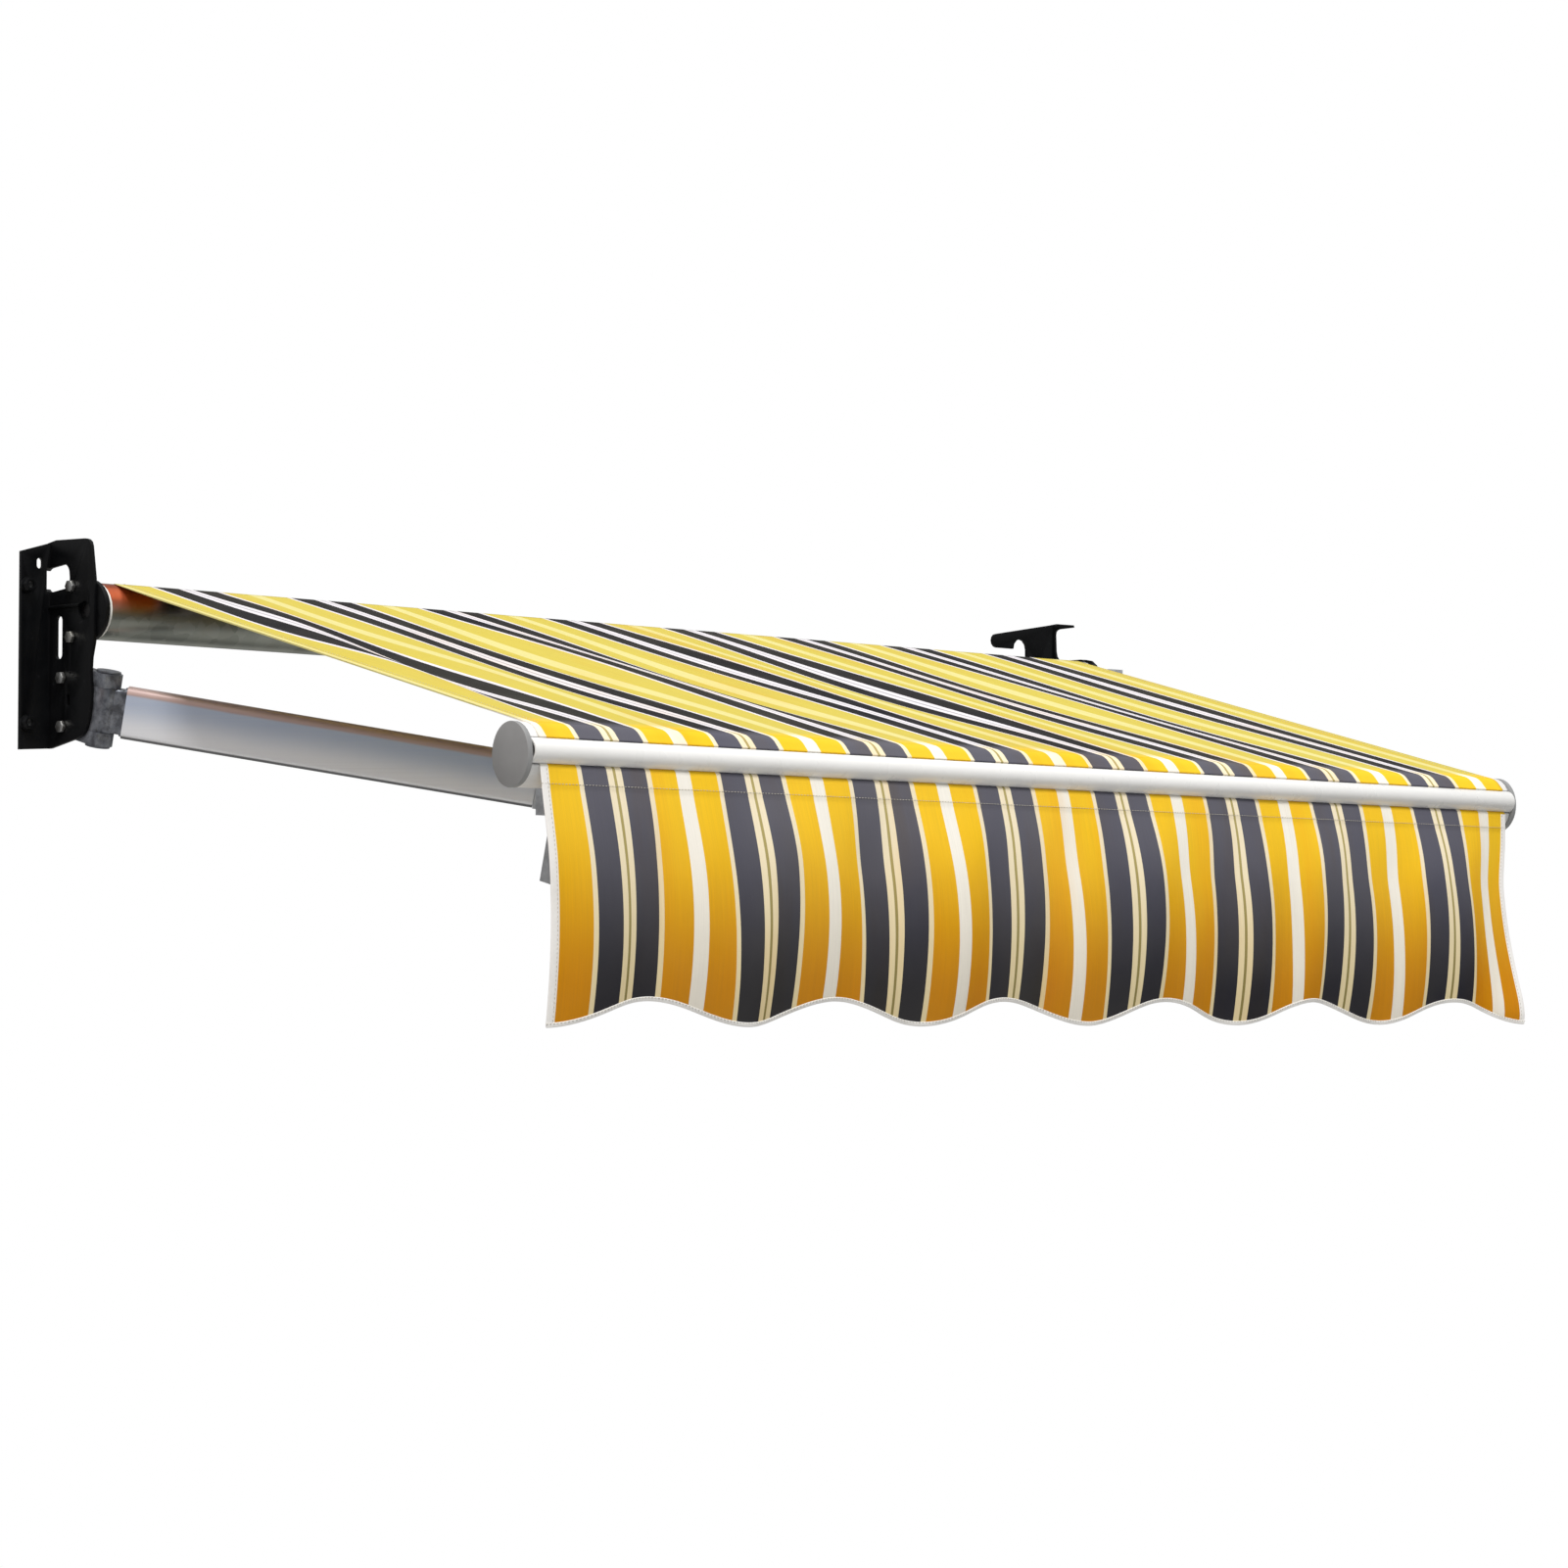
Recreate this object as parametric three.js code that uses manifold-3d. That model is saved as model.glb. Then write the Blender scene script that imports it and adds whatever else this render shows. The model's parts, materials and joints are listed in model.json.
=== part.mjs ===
// Folding-arm canvas awning: two wall brackets, a roller with its crank gearbox, two spring arms,
// a front bar and a striped cloth with a scalloped valance. Millimetres, +Z up, wall plane at y = 0,
// the awning reaches out along -Y, and the roller axis lies at z = 0.
import * as THREE from 'three';
import { mergeVertices } from 'three/addons/utils/BufferGeometryUtils.js';
import Module from 'manifold-3d';

const wasm = await Module();
wasm.setup();

// Driving dimensions.
const gap = 0.3;                     // air between pieces that touch
const halfFrame = 1042.5;            // frame centre to the outer face of a side plate
const plate = 5;                     // pressed steel of the wall brackets
const rollerOut = 84;                // roller axis from the wall
const tubeRadius = 39;
const tubeWall = 1.6;
const tubeEnds = [-1023, 1016];
const clothWidth = 2000;
const cloth = 1;
const armPitch = THREE.MathUtils.degToRad(14);
const shoulder = { x: 1018, out: 96, z: -134 };
const upperLink = 650;               // shoulder pin to elbow pin
const foreLink = 540;                // elbow pin to front pin
const pinOffset = 17;                // elbow pin beside the axis of either arm tube
const frontInset = 110;              // front pin inward of the shoulder pin
const reach = 855;                   // shoulder pin to front pin, square to the wall, in the arm plane
const armWidth = 30;
const armHeight = 72;
const knuckleHeight = 62;
const bar = { out: 936, z: -229, depth: 31, height: 41, wall: 2.2, half: 1015.2 };
const nose = { out: 23, up: 4, radius: 17 };
const barCap = { depth: 34, height: 41.5, thickness: 9 };
const valanceDrop = 380;             // crest of the bar to the lowest point of the valance
const scallops = 6;
const scallopHeight = 33;

// Finishes.
const finish = {
  blackSteel: { color: 0x17171a, roughness: 0.45, metalness: 0.2 },
  castGrey: { color: 0x7c7f86, roughness: 0.5, metalness: 0.7 },
  zinc: { color: 0xb9b9b4, roughness: 0.35, metalness: 0.9 },
  galvanised: { color: 0x8d9088, roughness: 0.35, metalness: 0.8 },
  aluminium: { color: 0xaab0ba, roughness: 0.35, metalness: 0.8 },
  white: { color: 0xf2f3f1, roughness: 0.35, metalness: 0 },
  capGrey: { color: 0xa8aaa9, roughness: 0.5, metalness: 0 },
  plastic: { color: 0x2b2b2e, roughness: 0.6, metalness: 0 },
  yellowCloth: { color: 0xe8b21a, roughness: 0.9, metalness: 0 },
};

// Solids.
const alongX = new THREE.Matrix4().makeBasis(
  new THREE.Vector3(0, 1, 0), new THREE.Vector3(0, 0, 1), new THREE.Vector3(1, 0, 0));

function solid(geometry) {
  const bare = geometry.clone();
  bare.deleteAttribute('normal');
  bare.deleteAttribute('uv');
  const merged = mergeVertices(bare, 1e-4);
  return new wasm.Manifold(new wasm.Mesh({
    numProp: 3,
    vertProperties: new Float32Array(merged.attributes.position.array),
    triVerts: new Uint32Array(merged.index.array),
  }));
}

function mesh(name, body, look) {
  const { vertProperties, triVerts } = body.getMesh();
  const geometry = new THREE.BufferGeometry();
  geometry.setAttribute('position', new THREE.BufferAttribute(new Float32Array(vertProperties), 3));
  geometry.setIndex(new THREE.BufferAttribute(new Uint32Array(triVerts), 1));
  geometry.computeVertexNormals();
  const part = new THREE.Mesh(geometry, new THREE.MeshStandardMaterial(look));
  part.name = name;
  return part;
}

function extruded(shape, depth, curveSegments) {
  return new THREE.ExtrudeGeometry(shape, { depth, bevelEnabled: false, curveSegments });
}

// A flat shape pushed up: x, y of the shape, from z = low to z = high.
function slab(shape, low, high, curveSegments = 7) {
  return solid(extruded(shape, high - low, curveSegments).translate(0, 0, low));
}

// A section in (y, z) pulled along X.
function bar3d(shape, from, to, curveSegments = 3) {
  return solid(extruded(shape, to - from, curveSegments).translate(0, 0, from).applyMatrix4(alongX));
}

function box(x0, x1, y0, y1, z0, z1) {
  const geometry = new THREE.BoxGeometry(x1 - x0, y1 - y0, z1 - z0);
  return solid(geometry.translate((x0 + x1) / 2, (y0 + y1) / 2, (z0 + z1) / 2));
}

// Round bar along Z between two heights.
function rod(radius, low, high, count = 16, x = 0, y = 0) {
  const geometry = new THREE.CylinderGeometry(radius, radius, high - low, count);
  return solid(geometry.rotateX(Math.PI / 2).translate(x, y, (low + high) / 2));
}

// Round bar along X between two stations.
function rodX(radius, from, to, y, z, count = 16) {
  const geometry = new THREE.CylinderGeometry(radius, radius, to - from, count);
  return solid(geometry.rotateZ(Math.PI / 2).translate((from + to) / 2, y, z));
}

// Turned piece about X: profile points are [radius, x].
function turnedX(profile, count = 24) {
  const points = profile.map(([radius, x]) => new THREE.Vector2(radius, x));
  const geometry = new THREE.LatheGeometry(points, count);
  const body = solid(geometry.rotateZ(-Math.PI / 2));
  return body.volume() < 0 ? solid(geometry.scale(1, 1, -1)) : body;
}

function join(first, ...others) {
  return others.reduce((whole, piece) => whole.add(piece), first);
}

function cut(first, ...others) {
  return others.reduce((whole, piece) => whole.subtract(piece), first);
}

function circleShape(x, y, radius) {
  const shape = new THREE.Shape();
  shape.absarc(x, y, radius, 0, Math.PI * 2);
  return shape;
}

function ovalShape(x, y, halfX, halfY) {
  const shape = new THREE.Shape();
  shape.absellipse(x, y, halfX, halfY, 0, Math.PI * 2);
  return shape;
}

function roundedBox(x, y, width, height, radius, turn = 0) {
  const corners = [[1, -1], [1, 1], [-1, 1], [-1, -1]];
  const shape = new THREE.Shape();
  corners.forEach(([sx, sy], index) => {
    const at = new THREE.Vector2(sx * (width / 2 - radius), sy * (height / 2 - radius));
    at.rotateAround(new THREE.Vector2(), turn);
    const start = (index - 1) * Math.PI / 2 + turn;
    shape.absarc(x + at.x, y + at.y, radius, start, start + Math.PI / 2);
  });
  return shape;
}

function polygon(points) {
  return new THREE.Shape(points.map(([x, y]) => new THREE.Vector2(x, y)));
}

function hexagon(x, y, acrossFlats) {
  const radius = acrossFlats / Math.sqrt(3);
  const corner = (index) => {
    const angle = index * Math.PI / 3;
    return [x + radius * Math.cos(angle), y + radius * Math.sin(angle)];
  };
  return polygon([0, 1, 2, 3, 4, 5].map(corner));
}

const sides = [{ name: 'left', sign: -1 }, { name: 'right', sign: 1 }];

function between(a, b) {
  return a < b ? [a, b] : [b, a];
}

// Wall brackets.
const bearingBolts = [[-56, 35], [-56, -35]];      // (y, z) on the side plate
const shoulderBolts = [[-35, -90], [-36, -157]];
const wallNuts = [38, -152];                       // heights on the wall flange
const wallNutIn = 38;                              // from the side plate
const boltRadius = 4;
const bracketHoles = {
  window: { y: -23.5, z: 48, wide: 54, high: 34, round: 13, turn: THREE.MathUtils.degToRad(-6) },
  longSlot: { y: -27, z: -34, wide: 15, high: 60, round: 7 },
  smallSlot: { y: -49, z: -121, wide: 7, high: 17, round: 3.4 },
  axle: 13, wallBolt: 6, flangeSlot: { in: 17, z: 69, wide: 10, high: 15 },
};
const ridge = { z: 8, radius: 3, from: { left: -86, right: -48 }, to: -6 };
const wallNutSize = { acrossFlats: 17, height: 8, washer: 11, washerThickness: 2, bore: 5 };
const boltHead = { acrossFlats: 15, height: 6 };
const past = 5;                                    // how far a cutting body reaches past a face

// Side plates as (y, z). The right one is open above the bearing, under a thin tapered arm.
function sidePlateShape(sign) {
  const shape = new THREE.Shape();
  shape.moveTo(0, -186);
  shape.lineTo(-8, -186);
  shape.lineTo(-72, -174);
  shape.quadraticCurveTo(-88, -170, -92, -158);
  shape.quadraticCurveTo(-101, -138, -101, -107);
  shape.quadraticCurveTo(-94, -76, -106, -44);
  if (sign < 0) {
    shape.lineTo(-106, 43);
    shape.lineTo(-99, 88);
    shape.quadraticCurveTo(-97, 98, -85, 99);
    shape.lineTo(-19, 101);
    shape.lineTo(0, 98);
  } else {
    shape.lineTo(-106, 20);
    shape.quadraticCurveTo(-101, 44, -76, 44);
    shape.lineTo(-24, 44);
    shape.quadraticCurveTo(-11, 46, -10, 62);
    shape.lineTo(-9, 90);
    shape.quadraticCurveTo(-9, 98, -18, 99);
    shape.lineTo(-50, 100);
    shape.lineTo(-49, 104);
    shape.lineTo(-14, 108);
    shape.lineTo(0, 107);
  }
  shape.closePath();
  return shape;
}

// Wall flange, as distance from the crease and height.
function flangeShape(sign) {
  if (sign < 0) return polygon([[0, -186], [0, 98], [49, 84], [49, -189]]);
  const ear = { long: 152, low: 61, high: 84, round: 11.5 };
  const notch = { at: 100, radius: 17 };
  const shape = new THREE.Shape();
  shape.moveTo(0, -186);
  shape.lineTo(0, 107);
  shape.lineTo(ear.long - ear.round, ear.high);
  shape.absarc(ear.long - ear.round, (ear.low + ear.high) / 2, ear.round, Math.PI / 2, -Math.PI / 2, true);
  shape.lineTo(notch.at, ear.low);
  shape.absarc(notch.at - notch.radius, ear.low, notch.radius, 0, Math.PI);
  shape.lineTo(notch.at - 2 * notch.radius, -189);
  shape.closePath();
  return shape;
}

function wallBracket({ name, sign }) {
  const outer = sign * halfFrame;
  const inner = sign * (halfFrame - plate);
  const [x0, x1] = between(outer, inner);
  const side = bar3d(sidePlateShape(sign), x0, x1);
  const crease = sign < 0 ? outer : inner;
  const stand = new THREE.Matrix4().makeBasis(
    new THREE.Vector3(-1, 0, 0), new THREE.Vector3(0, 0, 1), new THREE.Vector3(0, 1, 0));
  const flangeGeometry = extruded(flangeShape(sign), plate, 3);
  flangeGeometry.applyMatrix4(stand).translate(crease + 1, -plate, 0);
  const { window, longSlot, smallSlot, axle, wallBolt, flangeSlot } = bracketHoles;
  const opening = ({ y, z, wide, high, round, turn }) => (
    bar3d(roundedBox(y, z, wide, high, round, turn), x0 - past, x1 + past));
  const drilled = (radius, y, z, count) => rodX(radius, x0 - past, x1 + past, y, z, count);
  const body = cut(
    join(side, solid(flangeGeometry), rodAlongY(ridge.radius, ridge.from[name], ridge.to, outer, ridge.z)),
    opening(longSlot), opening(smallSlot),
    ...[...bearingBolts, ...shoulderBolts].map(([y, z]) => drilled(boltRadius + gap, y, z, 12)),
    drilled(axle, -rollerOut, 0, 24),
    ...wallNuts.map((z) => rodAlongY(wallBolt, -plate - past, past, crease - wallNutIn, z, 14)),
    ...(sign < 0 ? [opening(window), slotAlongY(crease - flangeSlot.in, flangeSlot)] : []));
  return mesh(`${name}_wall_bracket`, body, finish.blackSteel);
}

function rodAlongY(radius, from, to, x, z, count = 12) {
  const geometry = new THREE.CylinderGeometry(radius, radius, to - from, count);
  return solid(geometry.translate(x, (from + to) / 2, z));
}

function slotAlongY(x, { z, wide, high }) {
  const deep = 6 * plate;
  const geometry = extruded(roundedBox(0, 0, wide, high, wide / 2 - 0.1), deep, 3);
  return solid(geometry.rotateX(Math.PI / 2).translate(x, deep / 2, z));
}

function wallNut(side, z, label) {
  const x = (side.sign < 0 ? -halfFrame : halfFrame - plate) - wallNutIn;
  const { acrossFlats, height, washer, washerThickness, bore } = wallNutSize;
  const seat = -plate - gap;
  const prism = extruded(hexagon(0, 0, acrossFlats), height, 1);
  const nut = solid(prism.rotateX(Math.PI / 2).translate(x, seat - washerThickness, z));
  const disc = rodAlongY(washer, seat - washerThickness - 0.2, seat, x, z, 20);
  const hole = rodAlongY(bore, seat - 4 * height, seat + 4 * height, x, z, 14);
  return mesh(`${side.name}_wall_nut_${label}`, cut(join(nut, disc), hole), finish.blackSteel);
}

// Hex bolt through the side plate, head outside.
function plateBolt(side, [y, z], inward, name) {
  const face = side.sign * (halfFrame + gap);
  const [h0, h1] = between(face, face + side.sign * boltHead.height);
  const [s0, s1] = between(face + side.sign, face - side.sign * inward);
  const head = bar3d(hexagon(y, z, boltHead.acrossFlats), h0, h1);
  return mesh(name, join(head, rodX(boltRadius, s0, s1, y, z, 12)), finish.zinc);
}

// Roller and its bearings.
const bearingThickness = 7;
const bearingRadius = { left: 43, right: 38 };
const axleRadius = 10;
const bearingFoot = { y: -63, z: 0, wide: 38, high: { left: 94, right: 88 }, round: 8 };

function bearingPlate({ name, sign }) {
  const face = sign * (halfFrame - plate - gap);
  const [x0, x1] = between(face, face - sign * bearingThickness);
  const { y: footY, z: footZ, wide, high, round } = bearingFoot;
  const foot = bar3d(roundedBox(footY, footZ, wide, high[name], round), x0, x1);
  const disc = rodX(bearingRadius[name], x0, x1, -rollerOut, 0, 32);
  const holes = bearingBolts.map(([y, z]) => rodX(boltRadius + gap, x0 - past, x1 + past, y, z, 12));
  const bore = rodX(axleRadius + gap, x0 - past, x1 + past, -rollerOut, 0, 24);
  const body = cut(join(disc, foot), bore, ...holes);
  return mesh(`${name}_bearing_plate`, body, finish.blackSteel);
}

// Steel tube with a channel along it for the cloth's inner edge.
const channelSize = { radius: 6, groove: 4.2, mouth: 3 };

function rollerTube() {
  const [from, to] = tubeEnds;
  const channelZ = tubeRadius - channelSize.radius;
  const outer = rodX(tubeRadius, from, to, -rollerOut, 0, 40);
  const inner = rodX(tubeRadius - tubeWall, from - past, to + past, -rollerOut, 0, 40);
  const channel = rodX(channelSize.radius, from, to, -rollerOut, channelZ, 16);
  const groove = rodX(channelSize.groove, from - past, to + past, -rollerOut, channelZ, 16);
  const mouth = box(from - past, to + past, -rollerOut - channelSize.mouth / 2,
    -rollerOut + channelSize.mouth / 2, channelZ, tubeRadius + past);
  const body = cut(join(cut(outer, inner), channel.intersect(outer)), groove, mouth);
  return mesh('roller_tube', body, finish.galvanised);
}

// Plug pressed in the end of the tube, with a notch that clears the tube's cloth channel.
const plugSize = { deep: 40, rim: 3 };

function endPlug(end, direction, profileOutside) {
  const inside = (tubeRadius - tubeWall) * 0.995 - gap;
  const profile = [
    [0, end + direction * plugSize.deep],
    [inside, end + direction * plugSize.deep],
    [inside, end - direction * gap],
    [tubeRadius, end - direction * gap],
    [tubeRadius, end - direction * plugSize.rim],
    ...profileOutside,
  ];
  const body = turnedX(profile.reverse()).translate([0, -rollerOut, 0]);
  const [n0, n1] = between(end, end + direction * 1.5 * plugSize.deep);
  const half = channelSize.radius + 1;
  const [low, high] = [tubeRadius - 2 * half + 1, tubeRadius + past];
  return cut(body, box(n0, n1, -rollerOut - half, -rollerOut + half, low, high));
}

function leftPlug() {
  const [end] = tubeEnds;
  const pinEnd = -(halfFrame - plate - gap) + 1;
  const rim = end - plugSize.rim;
  const body = endPlug(end, 1, [[axleRadius, rim], [axleRadius, pinEnd], [0, pinEnd]]);
  return mesh('roller_left_plug', body, finish.capGrey);
}

const squareShaft = 13;
const gearboxIn = halfFrame + gap;
const gearboxDepth = 28;
const wheelRadius = 25;
const wheelSpan = [gearboxIn + 9, gearboxIn + 19];
const wormOut = 33;                  // worm axis in front of the roller axis
const wormX = (wheelSpan[0] + wheelSpan[1]) / 2;

const squareSection = (grow) => roundedBox(-rollerOut, 0, squareShaft + grow, squareShaft + grow, 1);

function rightPlug() {
  const end = tubeEnds[1];
  const body = endPlug(end, -1, [[0, end + plugSize.rim]]);
  const bore = bar3d(squareSection(2 * gap), end - 1.5 * plugSize.deep, end + plugSize.deep / 2);
  return mesh('roller_right_plug', cut(body, bore), finish.capGrey);
}

function driveShaft() {
  const square = bar3d(squareSection(0), tubeEnds[1] - plugSize.deep + 2, wheelSpan[1] + 3, 1);
  const journalStart = halfFrame - plate - gap - bearingThickness;
  const journal = rodX(axleRadius, journalStart, halfFrame + gap, -rollerOut, 0, 24);
  return mesh('drive_shaft', join(square, journal), finish.zinc);
}

function wormWheel() {
  const teeth = 18;
  const root = wheelRadius - 3;
  const [rootTurn, tipTurn] = [0.11, 0.06];
  const points = [];
  for (let index = 0; index < teeth; index += 1) {
    const middle = index * 2 * Math.PI / teeth;
    const tooth = [[-rootTurn, root], [-tipTurn, wheelRadius], [tipTurn, wheelRadius], [rootTurn, root]];
    tooth.forEach(([turn, radius]) => {
      points.push([-rollerOut + radius * Math.cos(middle + turn), radius * Math.sin(middle + turn)]);
    });
  }
  const body = bar3d(polygon(points), wheelSpan[0], wheelSpan[1]);
  const bore = bar3d(squareSection(2 * gap), wheelSpan[0] - past, wheelSpan[1] + past, 3);
  return mesh('worm_wheel', cut(body, bore), finish.castGrey);
}

// Crank gearbox on the outer face of the right bracket.
const housingWall = 3.5;
const housingRadius = 30;
const tower = { front: 13, half: 26 };
const coverThickness = 3;
const wormSpan = [-16, 16];
const neckLow = -52;
const neckRadius = 10;
const spindle = { radius: 6, core: 4.5, thread: 7, below: 12 };

function gearboxPrism(x0, x1, grow) {
  const { front, half } = tower;
  return join(rodX(housingRadius + grow, x0, x1, -rollerOut, 0, 36),
    box(x0, x1, -rollerOut - wormOut - front - grow, -rollerOut, -half - grow, half + grow));
}

function gearboxOutline(grow) {
  const [x0, x1] = [gearboxIn - grow, gearboxIn + gearboxDepth + (grow < 0 ? past : 0)];
  return gearboxPrism(x0, x1, grow);
}

function gearboxHousing() {
  const wormY = -rollerOut - wormOut;
  const neck = rod(neckRadius, neckLow, 2 - tower.half, 20, wormX, wormY);
  const body = cut(join(gearboxOutline(0), neck),
    gearboxOutline(-housingWall),
    rod(spindle.radius + gap, neckLow - past, 0, 20, wormX, wormY),
    rodX(axleRadius + gap, gearboxIn - past, gearboxIn + 2 * past, -rollerOut, 0, 24));
  return mesh('gearbox_housing', body, finish.castGrey);
}

function gearboxCover() {
  const x0 = gearboxIn + gearboxDepth + gap;
  const x1 = x0 + coverThickness;
  const frontY = -rollerOut - wormOut - 5;
  const spots = [[-63, 14], [-63, -14], [frontY, 18], [frontY, -18]];
  const heads = spots.map(([y, z]) => rodX(3.5, x1 - 1, x1 + 2, y, z, 12));
  return mesh('gearbox_cover', join(gearboxPrism(x0, x1, 0), ...heads), finish.castGrey);
}

function wormShaft() {
  const { radius, core, thread, below } = spindle;
  const [start, end] = wormSpan;
  const profile = [[0, neckLow - below], [radius, neckLow - below], [radius, start - 4], [core, start - 4]];
  const threads = 6;
  const step = (end - start) / threads;
  for (let index = 0; index < threads; index += 1) {
    const z = start + index * step;
    profile.push([core, z + step * 0.2], [thread, z + step * 0.4]);
    profile.push([thread, z + step * 0.6], [core, z + step * 0.8]);
  }
  profile.push([core, end + 4], [0, end + 4]);
  const geometry = new THREE.LatheGeometry(profile.map(([r, z]) => new THREE.Vector2(r, z)), 12);
  const body = solid(geometry.rotateX(Math.PI / 2).translate(wormX, -rollerOut - wormOut, 0));
  return mesh('worm_shaft', body, finish.zinc);
}

const eyeRadius = 15;
const eyeWire = 4;
const eyeCollar = { radius: 8, height: 14 };
const eyeTop = neckLow - spindle.below - gap;

function crankEye() {
  const wormY = -rollerOut - wormOut;
  const collar = rod(eyeCollar.radius, eyeTop - eyeCollar.height, eyeTop, 20, wormX, wormY);
  const ring = new THREE.TorusGeometry(eyeRadius, eyeWire, 8, 24);
  const ringZ = eyeTop - eyeCollar.height - eyeRadius - eyeWire + 3;
  const loop = solid(ring.rotateX(Math.PI / 2).translate(wormX, wormY, ringZ));
  return mesh('crank_eye', join(collar, loop), finish.zinc);
}

// Arms, each built flat in the arm plane.
// x runs along the tube, y is square to it, z is the direction of the hinge pins.
const tubeStart = 30;                // tube end from the pin that its axis meets
const forkBase = 34;                 // solid part of an elbow casting from the elbow pin
const lugRadius = 15;
const lugThickness = armHeight / 2 - 18.4;
const tubeRound = 9;                 // corner radius of an arm tube
const elbowCollar = 16;              // length of an elbow casting between the tube and its lugs
const plugLength = 46;
const pinRadius = 7;
const knuckleRadius = 17;
const shoulderRadius = 19;
const armWall = 2.5;
const bracketLug = 18.5;
const bracketLugRadius = 20;
const pinHead = { radius: 11, height: 3 };
const openPivotPlay = 1.5;           // round the right front pin, where the closed linkage is open

const upperLength = Math.sqrt(upperLink ** 2 - pinOffset ** 2);
const foreLength = Math.sqrt(foreLink ** 2 - pinOffset ** 2);

function armTube(length) {
  const outer = bar3d(roundedBox(0, 0, armWidth, armHeight, tubeRound),
    tubeStart, length - forkBase - elbowCollar, 3);
  const inner = bar3d(
    roundedBox(0, 0, armWidth - 2 * armWall, armHeight - 2 * armWall, tubeRound - armWall),
    tubeStart - past, length, 3);
  return cut(outer, inner);
}

// The block that slides into the tube and the collar that meets its end.
function armPlug(from, to) {
  const fit = 2 * (armWall + gap);
  return bar3d(roundedBox(0, 0, armWidth - fit, armHeight - fit, 6), from, to, 2);
}

// Round knuckle on the pin that the tube's axis meets.
function endKnuckle(radius, clearance) {
  const half = knuckleHeight / 2;
  const barrel = rod(radius, -half, half, 24);
  const neck = bar3d(roundedBox(0, 0, 26, knuckleHeight, 5), 0, tubeStart - gap, 2);
  const bore = rod(pinRadius + clearance, -armHeight, armHeight, 14);
  return cut(join(barrel, neck, armPlug(tubeStart - 3, tubeStart + 26)), bore);
}

// Plan of an elbow lug: from the tube's end to the round eye on the elbow pin.
function elbowPlan(length, pinSide) {
  const shape = new THREE.Shape();
  const halfWidth = armWidth / 2;
  const base = length - forkBase;
  const pinY = pinSide * pinOffset;
  shape.moveTo(base - elbowCollar + gap, -pinSide * halfWidth);
  shape.lineTo(base + 4, -pinSide * halfWidth);
  const lean = Math.atan2(pinOffset - 6, forkBase);
  const start = pinSide > 0 ? -Math.PI / 2 + lean : Math.PI / 2 - lean;
  const end = pinSide > 0 ? Math.PI / 2 : -Math.PI / 2;
  shape.absarc(length, pinY, lugRadius, start, end, pinSide < 0);
  shape.lineTo(base + 4, pinSide * halfWidth);
  shape.lineTo(base - elbowCollar + gap, pinSide * halfWidth);
  shape.closePath();
  return shape;
}

function elbowBlock(length) {
  const base = length - forkBase;
  return join(bar3d(roundedBox(0, 0, armWidth, armHeight, tubeRound), base - elbowCollar + gap, base, 3),
    armPlug(base - plugLength, base - 10));
}

function elbowBore(length, pinSide) {
  return rod(pinRadius + gap, -armHeight, armHeight, 14, length, pinSide * pinOffset);
}

function elbowFork(length, pinSide) {
  const half = armHeight / 2;
  const lugs = join(slab(elbowPlan(length, pinSide), half - lugThickness, half),
    slab(elbowPlan(length, pinSide), -half, lugThickness - half));
  return cut(join(elbowBlock(length), lugs), elbowBore(length, pinSide));
}

function elbowTongue(length, pinSide) {
  const half = armHeight / 2 - lugThickness - 0.4;
  const tongue = slab(elbowPlan(length, pinSide), -half, half);
  return cut(join(elbowBlock(length), tongue), elbowBore(length, pinSide));
}

function headedPin(name, half, head) {
  const top = half + gap;
  const body = join(rod(pinRadius, -top - 1, top + 1, 14), rod(head.radius, top, top + head.height, 20),
    rod(head.radius, -top - head.height, -top, 20));
  return mesh(name, body, finish.castGrey);
}

// Tension spring in the upper arm, a wire on a helix with straight ends on the axis.
function armSpring() {
  const turns = 13;
  const coil = { from: 300, long: 220, radius: 9, wire: 1.9 };
  class Helix extends THREE.Curve {
    getPoint(t, target = new THREE.Vector3()) {
      const angle = t * turns * 2 * Math.PI;
      const [y, z] = [coil.radius * Math.cos(angle), coil.radius * Math.sin(angle)];
      return target.set(coil.from + t * coil.long, y, z);
    }
  }
  const wire = new THREE.ExtrudeGeometry(circleShape(0, 0, coil.wire),
    { steps: turns * 7, extrudePath: new Helix(), curveSegments: 2, bevelEnabled: false });
  return solid(wire);
}

function armPlane() {
  const plane = new THREE.Group();
  plane.position.set(0, -shoulder.out, shoulder.z);
  plane.rotation.x = armPitch;
  return plane;
}

// Angles of the two links from square to the wall, from the three link lengths.
function linkAngles() {
  const span = Math.hypot(reach, frontInset);
  const skew = Math.atan2(frontInset, reach);
  const atShoulder = Math.acos((upperLink ** 2 + span ** 2 - foreLink ** 2) / (2 * upperLink * span));
  const atFront = Math.acos((foreLink ** 2 + span ** 2 - upperLink ** 2) / (2 * foreLink * span));
  return { upper: atShoulder + skew, fore: atFront - skew };
}

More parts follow.
